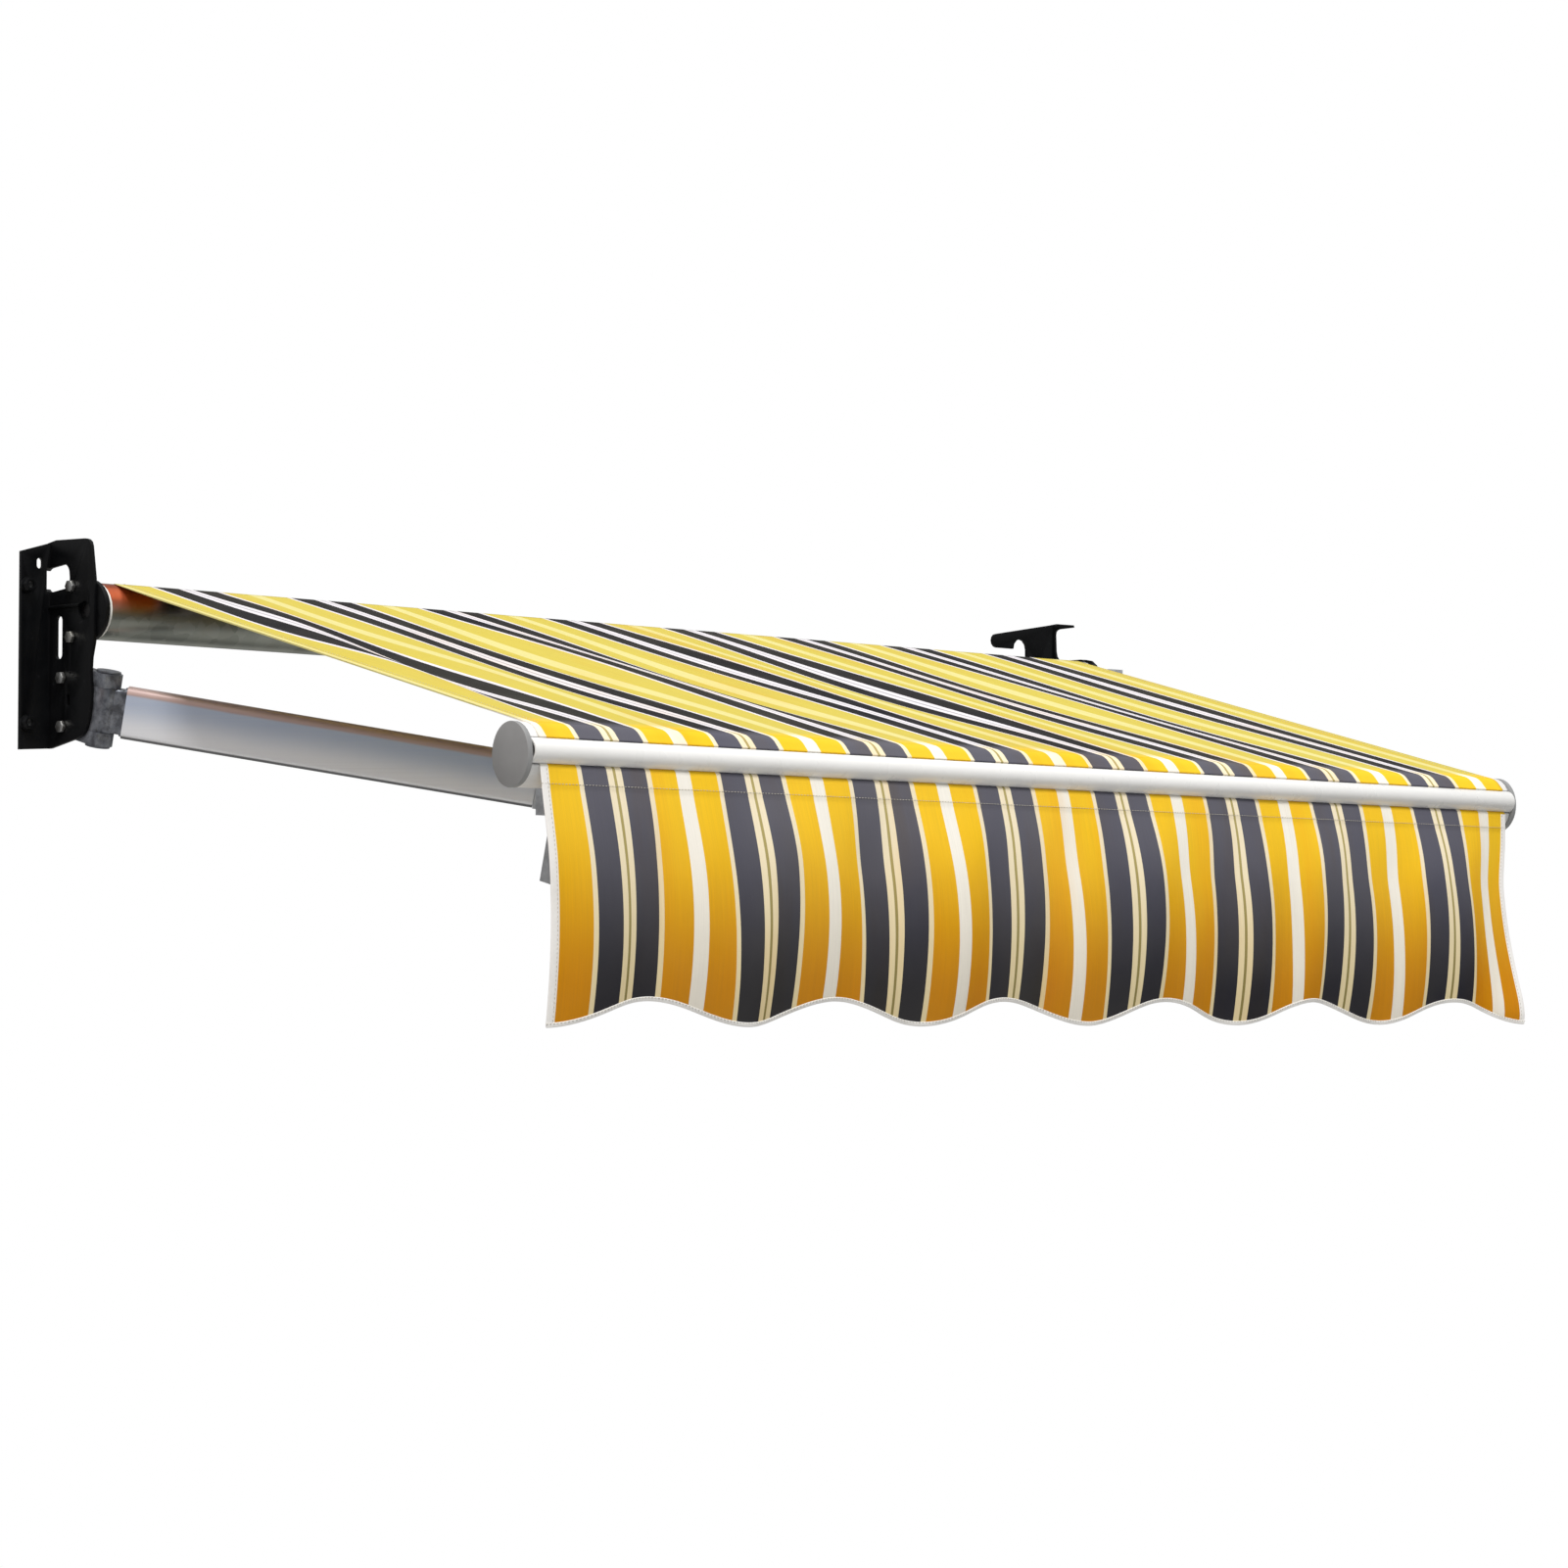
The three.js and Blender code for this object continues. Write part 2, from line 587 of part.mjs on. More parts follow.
function arm(side) {
  const { name, sign } = side;
  const { upper, fore } = linkAngles();
  const turned = (angle) => (sign < 0 ? angle : Math.PI - angle);
  const pinSide = sign;
  const upperGroup = new THREE.Group();
  upperGroup.position.set(sign * shoulder.x, 0, 0);
  upperGroup.rotation.z = turned(upper - Math.PI / 2 + Math.asin(pinOffset / upperLink));
  const elbowPin = headedPin(`${name}_elbow_pin`, armHeight / 2, pinHead);
  elbowPin.position.set(upperLength, pinSide * pinOffset, 0);
  upperGroup.add(
    mesh(`${name}_shoulder_knuckle`, endKnuckle(shoulderRadius, gap), finish.castGrey),
    mesh(`${name}_upper_arm_tube`, armTube(upperLength), finish.aluminium),
    mesh(`${name}_elbow_fork`, elbowFork(upperLength, pinSide), finish.castGrey),
    mesh(`${name}_arm_spring`, armSpring(), finish.zinc),
    elbowPin);
  const play = sign < 0 ? gap : openPivotPlay;
  const foreGroup = new THREE.Group();
  foreGroup.position.set(sign * (shoulder.x - frontInset), -reach, 0);
  foreGroup.rotation.z = turned(Math.PI / 2 - fore - Math.asin(pinOffset / foreLink));
  foreGroup.add(
    mesh(`${name}_front_knuckle`, endKnuckle(knuckleRadius, play), finish.castGrey),
    mesh(`${name}_forearm_tube`, armTube(foreLength), finish.aluminium),
    mesh(`${name}_elbow_tongue`, elbowTongue(foreLength, -pinSide), finish.castGrey));
  return [upperGroup, foreGroup];
}

// Two lugs on a foot that is bolted inside the wall bracket.
const foot = { thickness: 9, back: 80, lugBack: 40 };

function shoulderBracket({ name, sign }) {
  const inner = sign * (halfFrame - plate - gap);
  const half = knuckleHeight / 2 + 0.4;
  const tall = half + bracketLug;
  const pinX = sign * shoulder.x;
  const [f0, f1] = between(inner, inner - sign * foot.thickness);
  const pad = box(f0, f1, bracketLugRadius + 1, foot.back, -tall, tall);
  const lug = (low, high) => join(
    rod(bracketLugRadius, low, high, 24, pinX, 0),
    box(...between(inner, pinX), -bracketLugRadius, foot.lugBack, low, high));
  const trim = box(...between(inner, inner + sign * 40), -60, 60, -tall - past, tall + past);
  const bore = rod(pinRadius + gap, -tall - past, tall + past, 20, pinX, 0);
  const body = cut(join(lug(half, tall), lug(-tall, -half), pad), bore, trim);
  const holes = shoulderBolts.map(([y, z]) => {
    const flat = new THREE.Vector2(y + shoulder.out, z - shoulder.z);
    flat.rotateAround(new THREE.Vector2(), -armPitch);
    return rodX(boltRadius + gap, f0 - past, f1 + past, flat.x, flat.y, 12);
  });
  return mesh(`${name}_shoulder_bracket`, cut(body, ...holes), finish.castGrey);
}

function shoulderPin({ name, sign }) {
  const half = knuckleHeight / 2 + 0.4 + bracketLug;
  const pin = headedPin(`${name}_shoulder_pin`, half, { radius: 17, height: 3 });
  pin.position.x = sign * shoulder.x;
  return pin;
}

// Front bar.
const grooveTop = { out: 21.5, up: 15.5 };
const grooveLow = { out: 23.5, up: -7 };
const grooveRadius = 3.8;
const grooveWall = 1.8;
const slitWidth = 2.6;
const kederRadius = 3.2;
const webThickness = 2;
const mouthTop = { out: 28.5, up: 22 };
const mouthLow = { out: 30.5, up: -14 };

const barY = (out) => -bar.out - out;
const barZ = (up) => bar.z + up;

// Slit from a groove's centre to its mouth.
function slit(groove, mouth, width) {
  const along = new THREE.Vector2(mouth.out - groove.out, mouth.up - groove.up);
  const long = along.length() + 6;
  const geometry = new THREE.BoxGeometry(4000, long, width);
  geometry.translate(0, -long / 2, 0).rotateX(-along.angle());
  return solid(geometry.translate(0, barY(groove.out), barZ(groove.up)));
}

function barProfile() {
  const { half, wall } = bar;
  const oval = (shrink, long) => bar3d(
    ovalShape(barY(0), barZ(0), bar.depth - shrink, bar.height - shrink), -long, long, 20);
  const noseRod = (shrink, long) => (
    rodX(nose.radius - shrink, -long, long, barY(nose.out), barZ(nose.up), 36));
  const ring = (groove, radius, long) => rodX(radius, -long, long, barY(groove.out), barZ(groove.up), 16);
  const web = (groove) => box(-half - past - 1, half + past + 1, barY(2 * bar.depth), barY(-2 * bar.depth),
    barZ(groove.up) - webThickness / 2, barZ(groove.up) + webThickness / 2);
  const sleeve = (groove) => ring(groove, grooveRadius + grooveWall, half + past + 1);
  const channel = (groove) => ring(groove, grooveRadius, half + past);
  const hollow = join(oval(wall, half + past), noseRod(wall, half + past));
  const cavity = cut(hollow, web(grooveTop), web(grooveLow), sleeve(grooveTop), sleeve(grooveLow));
  const body = cut(join(oval(0, half), noseRod(0, half)), cavity, channel(grooveTop), channel(grooveLow),
    slit(grooveTop, mouthTop, slitWidth), slit(grooveLow, mouthLow, slitWidth));
  const holes = sides.map(({ sign }) => clampHole(sign));
  return mesh('front_bar_profile', cut(body, ...holes), finish.white);
}

function barEndCap({ name, sign }) {
  const start = sign * (bar.half + gap);
  const [x0, x1] = between(start, start + sign * barCap.thickness);
  const cover = bar3d(ovalShape(barY(2), barZ(0), barCap.depth, barCap.height), x0, x1, 20);
  const [p0, p1] = between(start + sign, start - sign * 14);
  const middlePlug = box(p0, p1, barY(12), barY(-22), barZ(-4), barZ(12));
  const lowPlug = box(p0, p1, barY(12), barY(-14), barZ(-29), barZ(-12));
  return mesh(`${name}_bar_end_cap`, join(cover, middlePlug, lowPlug), finish.capGrey);
}

const keder = (name, groove) => mesh(name,
  rodX(kederRadius, -clothWidth / 2, clothWidth / 2, barY(groove.out), barZ(groove.up), 14),
  finish.plastic);

// Bracket under the bar that carries the front pin of an arm.
const frontHalf = knuckleHeight / 2 + 1.2;
const frontLug = 16;
const forkDepth = 30;
const forkBack = 10;
const clampY = barY(0);
const clampBoltOut = 40;
const clampHead = { acrossFlats: 13, height: 5 };
const frontX = (sign) => sign * (shoulder.x - frontInset);

function clampHole(sign) {
  return rod(boltRadius + gap, barZ(-bar.height - 6), barZ(-bar.height + 8), 12,
    frontX(sign) + sign * clampBoltOut, clampY);
}

function frontBracket({ name, sign }) {
  const x = frontX(sign);
  const half = knuckleRadius;
  const plan = (low, high) => join(rod(half, low, high, 28),
    box(...between(sign * forkDepth, 0), -half, half, low, high));
  const tall = frontHalf + frontLug;
  const back = box(...between(sign * (forkDepth - forkBack), sign * forkDepth), -half, half, -tall, tall);
  const lugs = join(plan(frontHalf, tall), plan(-tall, -frontHalf), back);
  const pinY = -shoulder.out - reach * Math.cos(armPitch);
  const pinZ = shoulder.z - reach * Math.sin(armPitch);
  const fork = lugs.rotate([THREE.MathUtils.radToDeg(armPitch), 0, 0]).translate([x, pinY, pinZ]);
  const crown = pinZ + tall * Math.cos(armPitch) - 8;
  const neck = box(...between(x - sign * 16, x + sign * 50), barY(20), barY(-24), crown, barZ(-16));
  const oval = ovalShape(barY(0), barZ(0), bar.depth + gap, bar.height + gap);
  const seat = bar3d(oval, -bar.half, bar.half, 20);
  const relief = rodX(nose.radius + gap, -bar.half, bar.half, barY(nose.out), barZ(nose.up), 36);
  const bore = rod(pinRadius + gap, -tall - past, tall + past, 20)
    .rotate([THREE.MathUtils.radToDeg(armPitch), 0, 0]).translate([x, pinY, pinZ]);
  const body = cut(join(fork, neck), seat, relief, bore,
    rod(boltRadius + gap, -400, barZ(0), 12, x + sign * clampBoltOut, clampY));
  return mesh(`${name}_front_bracket`, body, finish.castGrey);
}

function clampBolt({ name, sign }) {
  const x = frontX(sign) + sign * clampBoltOut;
  const pinZ = shoulder.z - reach * Math.sin(armPitch);
  const under = pinZ + (frontHalf + frontLug) * Math.cos(armPitch) - 8 - gap;
  const head = slab(hexagon(x, clampY, clampHead.acrossFlats), under - clampHead.height, under);
  const shank = rod(boltRadius, under - 1, barZ(-bar.height + 6), 12, x, clampY);
  return mesh(`${name}_clamp_bolt`, join(head, shank), finish.zinc);
}

function frontPin({ name, sign }) {
  const half = frontHalf + frontLug;
  const head = rod(pinHead.radius, -half - gap - pinHead.height, -half - gap, 24);
  const body = join(rod(pinRadius, -half - 1, half - 4, 20), head);
  const pin = mesh(`${name}_front_pin`, body, finish.castGrey);
  pin.position.set(frontX(sign), -reach, 0);
  return pin;
}

// Cloth.
const clothFrom = -clothWidth / 2;
const clothTo = clothWidth / 2;
const lay = 0.5;                     // air under the cloth where it lies on the roller and the bar

// Slope of the straight cloth, tangent to the roller and to the oval of the bar.
function clothSlope() {
  const run = bar.out - rollerOut;
  const drop = -bar.z;
  const onRoller = tubeRadius + cloth;
  let slope = Math.atan2(drop, run);
  for (let pass = 0; pass < 4; pass += 1) {
    const onBar = Math.hypot((bar.depth + cloth) * Math.sin(slope), (bar.height + cloth) * Math.cos(slope));
    slope = Math.atan2(drop, run) - Math.asin((onBar - onRoller) / Math.hypot(run, drop));
  }
  return slope;
}

const slope = clothSlope();

// Point on the bar's oval, grown by some cloth, where its surface leans by an angle.
function ovalPoint(lean, grow) {
  const halfDepth = bar.depth + grow;
  const halfHeight = bar.height + grow;
  const size = Math.hypot(halfDepth * Math.sin(lean), halfHeight * Math.cos(lean));
  return [barY(halfDepth ** 2 * Math.sin(lean) / size), barZ(halfHeight ** 2 * Math.cos(lean) / size)];
}

function canopyPanel() {
  const rollerPoint = (radius) => [-rollerOut - radius * Math.sin(slope), radius * Math.cos(slope)];
  const top = [rollerPoint(tubeRadius + lay + cloth), ovalPoint(slope, lay + cloth)];
  const under = [ovalPoint(slope, lay), rollerPoint(tubeRadius + lay)];
  return mesh('canopy_panel', bar3d(polygon([...top, ...under]), clothFrom, clothTo), finish.yellowCloth);
}

// The cloth's front end: over the crest of the bar, down its face and into the upper groove.
function canopyFrontEdge() {
  const stop = THREE.MathUtils.degToRad(52);
  const count = 10;
  const angles = Array.from({ length: count + 1 }, (_, index) => (
    slope + 0.01 + (stop - slope) * index / count));
  const outside = angles.map((lean) => ovalPoint(lean, lay + cloth));
  const inside = angles.map((lean) => ovalPoint(lean, lay)).reverse();
  const mouth = new THREE.Vector2(grooveTop.out - mouthTop.out, grooveTop.up - mouthTop.up).normalize();
  const across = new THREE.Vector2(-mouth.y, mouth.x).multiplyScalar(cloth / 2);
  const tail = new THREE.Vector2(grooveTop.out, grooveTop.up).addScaledVector(mouth, -grooveRadius);
  const start = new THREE.Vector2(mouthTop.out, mouthTop.up).addScaledVector(mouth, -0.5);
  const edge = (side) => [barY(tail.x + side * across.x), barZ(tail.y + side * across.y)];
  const lip = (side) => [barY(start.x + side * across.x), barZ(start.y + side * across.y)];
  const outline = [...outside, lip(1), edge(1), edge(-1), lip(-1), ...inside];
  return mesh('canopy_front_edge', bar3d(polygon(outline), clothFrom, clothTo), finish.yellowCloth);
}

// Valance: hangs from the lower groove, with a row of scallops along its bottom edge.
function valance() {
  const hang = bar.depth + 1;
  const low = bar.z + bar.height + cloth - valanceDrop;
  const top = barZ(mouthLow.up - 4);
  const stepsEach = 12;
  const steps = scallops * stepsEach;
  const edge = Array.from({ length: steps + 1 }, (_, index) => {
    const wave = (1 - Math.cos(index / stepsEach * 2 * Math.PI)) / 2;
    return [clothFrom + clothWidth * index / steps, low + scallopHeight * wave];
  });
  const outline = [...edge, [clothTo, top], [clothFrom, top]];
  const sheet = solid(extruded(polygon(outline), cloth, 1).rotateX(Math.PI / 2).translate(0, barY(hang), 0));
  const mouth = new THREE.Vector2(mouthLow.out - grooveLow.out, mouthLow.up - grooveLow.up).normalize();
  const tail = new THREE.Vector2(grooveLow.out, grooveLow.up).addScaledVector(mouth, grooveRadius);
  const lip = new THREE.Vector2(mouthLow.out, mouthLow.up).addScaledVector(mouth, 0.6);
  const half = cloth / 2 / Math.SQRT2;
  const hem = polygon([
    [barY(tail.x - half), barZ(tail.y - half)], [barY(tail.x + half), barZ(tail.y + half)],
    [barY(lip.x + half), barZ(lip.y + half)], [barY(hang + cloth), barZ(lip.y - cloth)],
    [barY(hang + cloth), top - 2], [barY(hang), top - 2],
    [barY(hang), barZ(lip.y - 2 * cloth)], [barY(lip.x - half), barZ(lip.y - half)]]);
  return mesh('valance', join(sheet, bar3d(hem, clothFrom, clothTo)), finish.yellowCloth);
}

// The whole awning.
const awning = new THREE.Group();
const plane = armPlane();
sides.forEach((side) => {
  const { name } = side;
  awning.add(wallBracket(side), bearingPlate(side));
  wallNuts.forEach((z, index) => awning.add(wallNut(side, z, ['upper', 'lower'][index])));
  const bearingReach = plate + bearingThickness + 2;
  bearingBolts.forEach((spot, index) => (
    awning.add(plateBolt(side, spot, bearingReach, `${name}_bearing_bolt_${index + 1}`))));
  shoulderBolts.forEach((spot, index) => (
    awning.add(plateBolt(side, spot, bearingReach, `${name}_shoulder_bolt_${index + 1}`))));
  plane.add(shoulderBracket(side), shoulderPin(side), ...arm(side), frontPin(side));
  awning.add(barEndCap(side), frontBracket(side), clampBolt(side));
});
awning.add(plane, rollerTube(), leftPlug(), rightPlug(), driveShaft(), wormWheel());
awning.add(gearboxHousing(), gearboxCover(), wormShaft(), crankEye());
awning.add(barProfile(), keder('canopy_keder', grooveTop), keder('valance_keder', grooveLow));
awning.add(canopyPanel(), canopyFrontEdge(), valance());

export default awning;
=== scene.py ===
import json
import math
import bmesh
import bpy
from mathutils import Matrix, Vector

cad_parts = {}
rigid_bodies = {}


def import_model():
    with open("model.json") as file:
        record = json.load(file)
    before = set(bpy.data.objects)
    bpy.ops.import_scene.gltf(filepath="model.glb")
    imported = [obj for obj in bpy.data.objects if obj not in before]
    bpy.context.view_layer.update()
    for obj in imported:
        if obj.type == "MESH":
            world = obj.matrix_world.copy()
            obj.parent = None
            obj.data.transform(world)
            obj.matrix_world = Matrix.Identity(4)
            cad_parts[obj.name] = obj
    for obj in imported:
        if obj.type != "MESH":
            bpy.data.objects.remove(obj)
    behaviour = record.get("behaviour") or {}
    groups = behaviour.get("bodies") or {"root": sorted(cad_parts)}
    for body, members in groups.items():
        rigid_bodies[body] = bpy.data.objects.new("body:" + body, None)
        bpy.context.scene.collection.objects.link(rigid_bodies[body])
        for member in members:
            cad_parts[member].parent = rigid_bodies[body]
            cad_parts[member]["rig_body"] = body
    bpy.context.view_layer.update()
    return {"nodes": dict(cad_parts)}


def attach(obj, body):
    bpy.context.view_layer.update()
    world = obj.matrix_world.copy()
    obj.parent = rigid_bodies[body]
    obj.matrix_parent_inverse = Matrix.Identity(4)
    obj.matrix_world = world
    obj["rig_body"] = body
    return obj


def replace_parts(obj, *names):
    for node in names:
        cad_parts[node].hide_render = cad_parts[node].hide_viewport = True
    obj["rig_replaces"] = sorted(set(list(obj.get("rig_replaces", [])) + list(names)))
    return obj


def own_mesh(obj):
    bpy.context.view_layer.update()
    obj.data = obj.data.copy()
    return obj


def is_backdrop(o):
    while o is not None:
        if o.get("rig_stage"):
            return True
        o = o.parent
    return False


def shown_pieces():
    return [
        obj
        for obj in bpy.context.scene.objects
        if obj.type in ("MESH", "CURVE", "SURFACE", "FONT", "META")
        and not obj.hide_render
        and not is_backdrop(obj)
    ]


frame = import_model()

nodes = frame["nodes"]
print("frame loaded:", len(nodes), "nodes")


class Wire:  # one output socket that can be added, multiplied and so on
    def __init__(self, graph, socket):
        self.graph = graph
        self.socket = socket

    def maths(self, operation, *others):
        return self.graph.maths(operation, self, *others)

    def output(self, name):
        return Wire(self.graph, self.socket.node.outputs[name])

    def __add__(self, other):
        return self.graph.maths("ADD", self, other)

    def __radd__(self, other):
        return self.graph.maths("ADD", other, self)

    def __sub__(self, other):
        return self.graph.maths("SUBTRACT", self, other)

    def __rsub__(self, other):
        return self.graph.maths("SUBTRACT", other, self)

    def __mul__(self, other):
        return self.graph.maths("MULTIPLY", self, other)

    def __rmul__(self, other):
        return self.graph.maths("MULTIPLY", other, self)

    def __truediv__(self, other):
        return self.graph.maths("DIVIDE", self, other)

    def __rtruediv__(self, other):
        return self.graph.maths("DIVIDE", other, self)

    def __neg__(self):
        return self.graph.maths("MULTIPLY", self, -1.0)


class Graph:
    def __init__(self, tree):
        self.tree = tree

    def add(self, kind, settings=None, values=None, out=0):
        node = self.tree.nodes.new(kind)
        for name, value in (settings or {}).items():
            if name == "stops":
                self.setStops(node.color_ramp, value)
            else:
                setattr(node, name, value)
        for name, value in (values or {}).items():
            self.put(node.inputs[name], value)
        return Wire(self, node.outputs[out])

    def put(self, socket, value):
        if isinstance(value, Wire):
            self.tree.links.new(value.socket, socket)
        else:
            socket.default_value = value

    def setStops(self, ramp, stops):
        while len(ramp.elements) > 1:
            ramp.elements.remove(ramp.elements[-1])
        ramp.elements[0].position = stops[0][0]
        ramp.elements[0].color = stops[0][1]
        for place, colour in stops[1:]:
            ramp.elements.new(place).color = colour

    def maths(self, operation, *values):
        return self.add("ShaderNodeMath", {"operation": operation}, dict(enumerate(values)))

    def vectors(self, operation, *values):
        return self.add("ShaderNodeVectorMath", {"operation": operation}, dict(enumerate(values)))

    def vector(self, x, y, z):
        return self.add("ShaderNodeCombineXYZ", None, {0: x, 1: y, 2: z})

    def mixColour(self, factor, first, second):
        return self.add("ShaderNodeMix", {"data_type": "RGBA"}, {0: factor, 6: first, 7: second}, 2)

    def shades(self, factor, pair):  # from the first hex colour to the second
        return self.mixColour(factor, *(colour(code) for code in pair))

    def split(self, vector):  # gives X, and Y and Z as its other outputs
        return self.add("ShaderNodeSeparateXYZ", None, {0: vector}, "X")

    def noise(self, place, scale, detail=3.0, roughness=0.5):
        return self.add("ShaderNodeTexNoise", None,
                        {"Vector": place, "Scale": scale, "Detail": detail, "Roughness": roughness})

    def between(self, value, low, high):  # 0 below low, 1 above high, smooth in between
        return self.add("ShaderNodeMapRange", {"interpolation_type": "SMOOTHSTEP"},
                        {"Value": value, "From Min": low, "From Max": high})

    def fit(self, value, low=0.0, high=1.0):  # a noise value from about 0.3 to 0.7, spread from low to high
        return self.add("ShaderNodeMapRange", None, {
            "Value": value, "From Min": 0.3, "From Max": 0.7, "To Min": low, "To Max": high})

    def surface(self, looks, height=None, depth=1.0):  # values or wires for the shader, and its bumps
        shader = self.tree.nodes["Principled BSDF"]
        for name, value in looks.items():
            self.put(shader.inputs[name], value)
        if height is not None:
            bump = self.add("ShaderNodeBump", None, {"Height": height, "Strength": 1.0, "Distance": depth})
            self.put(shader.inputs["Normal"], bump)


def sine(x):
    return x.maths("SINE") if isinstance(x, Wire) else math.sin(x)


def fading(x):  # 1 at zero, falling off smoothly on either side
    square = -(x * x)
    return square.maths("EXPONENT") if isinstance(square, Wire) else math.exp(square)


def colour(hexCode):  # a colour as it is seen on a screen, in linear light
    def channel(start):
        value = int(hexCode[start:start + 2], 16) / 255
        return value / 12.92 if value <= 0.04045 else ((value + 0.055) / 1.055) ** 2.4
    return channel(0), channel(2), channel(4), 1.0


viewSettings = {"place": (-4.8393, -5.2206, -0.5442), "turn": (92.78, 0.0, -45.085), "lens": 106.4,
                "sensor": 36.0, "farthest": 200.0}
lens = bpy.data.cameras.new("viewpoint")
lens.lens = viewSettings["lens"]
lens.sensor_width = viewSettings["sensor"]
lens.clip_end = viewSettings["farthest"]
viewpoint = bpy.data.objects.new("viewpoint", lens)
viewpoint.location = viewSettings["place"]
viewpoint.rotation_euler = [math.radians(angle) for angle in viewSettings["turn"]]
bpy.context.scene.collection.objects.link(viewpoint)
bpy.context.scene.camera = viewpoint
bpy.context.scene.view_settings.view_transform = "Standard"

lightSettings = {
    "sky": {"above": 0.50, "below": 0.10, "seen": 1.0, "blend": (-0.5, 0.35)},
    "sun": {"power": 2.6, "from": (-0.30, -0.50, 1.0), "softness": 16.0, "tint": (1.0, 0.98, 0.95)},
    "panels": [
        {"name": "overheadPanel", "place": (0.3, -1.2, 3.2), "aim": (0.0, -0.6, -0.2), "size": 3.0,
         "power": 22.0, "tint": (1.0, 1.0, 1.0)},
        {"name": "frontPanel", "place": (-1.5, -6.0, 1.2), "aim": (0.0, -0.9, -0.4), "size": 3.5,
         "power": 14.0, "tint": (0.96, 0.98, 1.0)},
        {"name": "warmPanel", "place": (-3.4, -0.9, 0.7), "aim": (-0.9, -0.1, 0.0), "size": 0.8,
         "power": 3.0, "tint": (1.0, 0.45, 0.22)},
    ],
}


def makeSky():
    world = bpy.data.worlds.new("sky")
    world.use_nodes = True
    bpy.context.scene.world = world
    graph = Graph(world.node_tree)
    settings = lightSettings["sky"]
    up = graph.split(graph.add("ShaderNodeTexCoord", out="Generated")).output("Z")
    lowest, highest = settings["blend"]
    glow = graph.add("ShaderNodeMapRange", {"interpolation_type": "SMOOTHSTEP"}, {
        "Value": up, "From Min": lowest, "From Max": highest,
        "To Min": settings["below"], "To Max": settings["above"]})
    seen = graph.add("ShaderNodeLightPath", out="Is Camera Ray")
    strength = glow + seen * (settings["seen"] - glow)
    background = world.node_tree.nodes["Background"]
    background.inputs["Color"].default_value = (1.0, 1.0, 1.0, 1.0)
    graph.put(background.inputs["Strength"], strength)


def makeLight(name, kind, power, tint, place, aim):
    light = bpy.data.lights.new(name, kind)
    light.energy = power
    light.color = tint
    holder = bpy.data.objects.new(name, light)
    holder.location = place
    holder.rotation_euler = (Vector(aim) - Vector(place)).to_track_quat("-Z", "Y").to_euler()
    bpy.context.scene.collection.objects.link(holder)
    return light


makeSky()
sunSettings = lightSettings["sun"]
sun = makeLight("sun", "SUN", sunSettings["power"], sunSettings["tint"], sunSettings["from"], (0, 0, 0))
sun.angle = math.radians(sunSettings["softness"])
for panel in lightSettings["panels"]:
    softBox = makeLight(panel["name"], "AREA", panel["power"], panel["tint"], panel["place"], panel["aim"])
    softBox.size = panel["size"]


def startMaterial(name):  # with the spot being shaded, measured in the common frame
    material = bpy.data.materials.new(name)
    material.use_nodes = True
    graph = Graph(material.node_tree)
    return material, graph, graph.add("ShaderNodeTexCoord", out="Object")


floorSettings = {
    "height": -2.4, "radius": 7.5, "sides": 96, "centre": (0.0, -0.5), "solid": 3.2, "clear": 7.0,
    "shades": ("b9b8b5", "c1c0bd"), "clouds": 1.3, "roughness": 0.8,
}


def makeFloor():
    settings = floorSettings
    mesh = bpy.data.meshes.new("floor")
    shape = bmesh.new()
    bmesh.ops.create_circle(shape, cap_ends=True, segments=settings["sides"], radius=settings["radius"])
    shape.to_mesh(mesh)
    shape.free()
    x, y = settings["centre"]
    for corner in mesh.vertices:
        corner.co += Vector((x, y, settings["height"]))
    material, graph, place = startMaterial("paleFloor")
    across = graph.vectors("MULTIPLY", place, (1.0, 1.0, 0.0))
    distance = graph.vectors("LENGTH", across).output("Value")
    graph.surface({
        "Base Color": graph.shades(graph.fit(graph.noise(place, settings["clouds"])), settings["shades"]),
        "Alpha": 1 - graph.between(distance, settings["solid"], settings["clear"]),
        "Roughness": settings["roughness"]})
    mesh.materials.append(material)
    floor = bpy.data.objects.new("floor", mesh)
    bpy.context.scene.collection.objects.link(floor)
    floor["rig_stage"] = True


makeFloor()
print("camera, light and floor made")


stripeSettings = {
    "period": 0.243,
    "stripes": [  # end of each stripe as a share of the period, and its yarn
        (0.050, "white"), (0.245, "yellow"), (0.275, "cream"), (0.450, "slate"), (0.493, "cream"),
        (0.514, "olive"), (0.558, "cream"), (0.728, "slate"), (0.763, "cream"), (0.948, "yellow"),
        (1.000, "white")],
    # paler yellow and white for the canopy's top: painted glare and strong top light
    "glareLit": {"white": "ded58e", "yellow": "cfbe52", "cream": "e6e2e8", "slate": "1b1b21",
              "olive": "b5b3b9"},
    "fresh": {"white": "f8f4ea", "yellow": "f8c822", "cream": "f5e8ca", "slate": "5b5b68",
              "olive": "b3a468"},
    # darker, more orange colours for the valance's lower part: painted shade
    "paintedShade": {"white": "efe9dc", "yellow": "cd8604", "cream": "e9d8ac", "slate": "26262f",
             "olive": "8f8350"},
    "gloss": 0.06, "roughness": (0.62, 0.78),
    "weave": 0.0011, "weaveDepth": 0.00011, "creaseDepth": 0.0016,
    "wobble": 0.0012,  # how far a stripe's edge wanders
    "slubs": {"share": 0.08, "tint": (0.03, 0.03, 0.035, 1.0)},  # darker threads
    "tan": {"share": 0.5, "tint": (1.0, 0.80, 0.55), "from": 0.48, "full": 0.70},  # brownish streaks
    "dust": {"share": 0.03, "tint": "fbf3c8"},
}


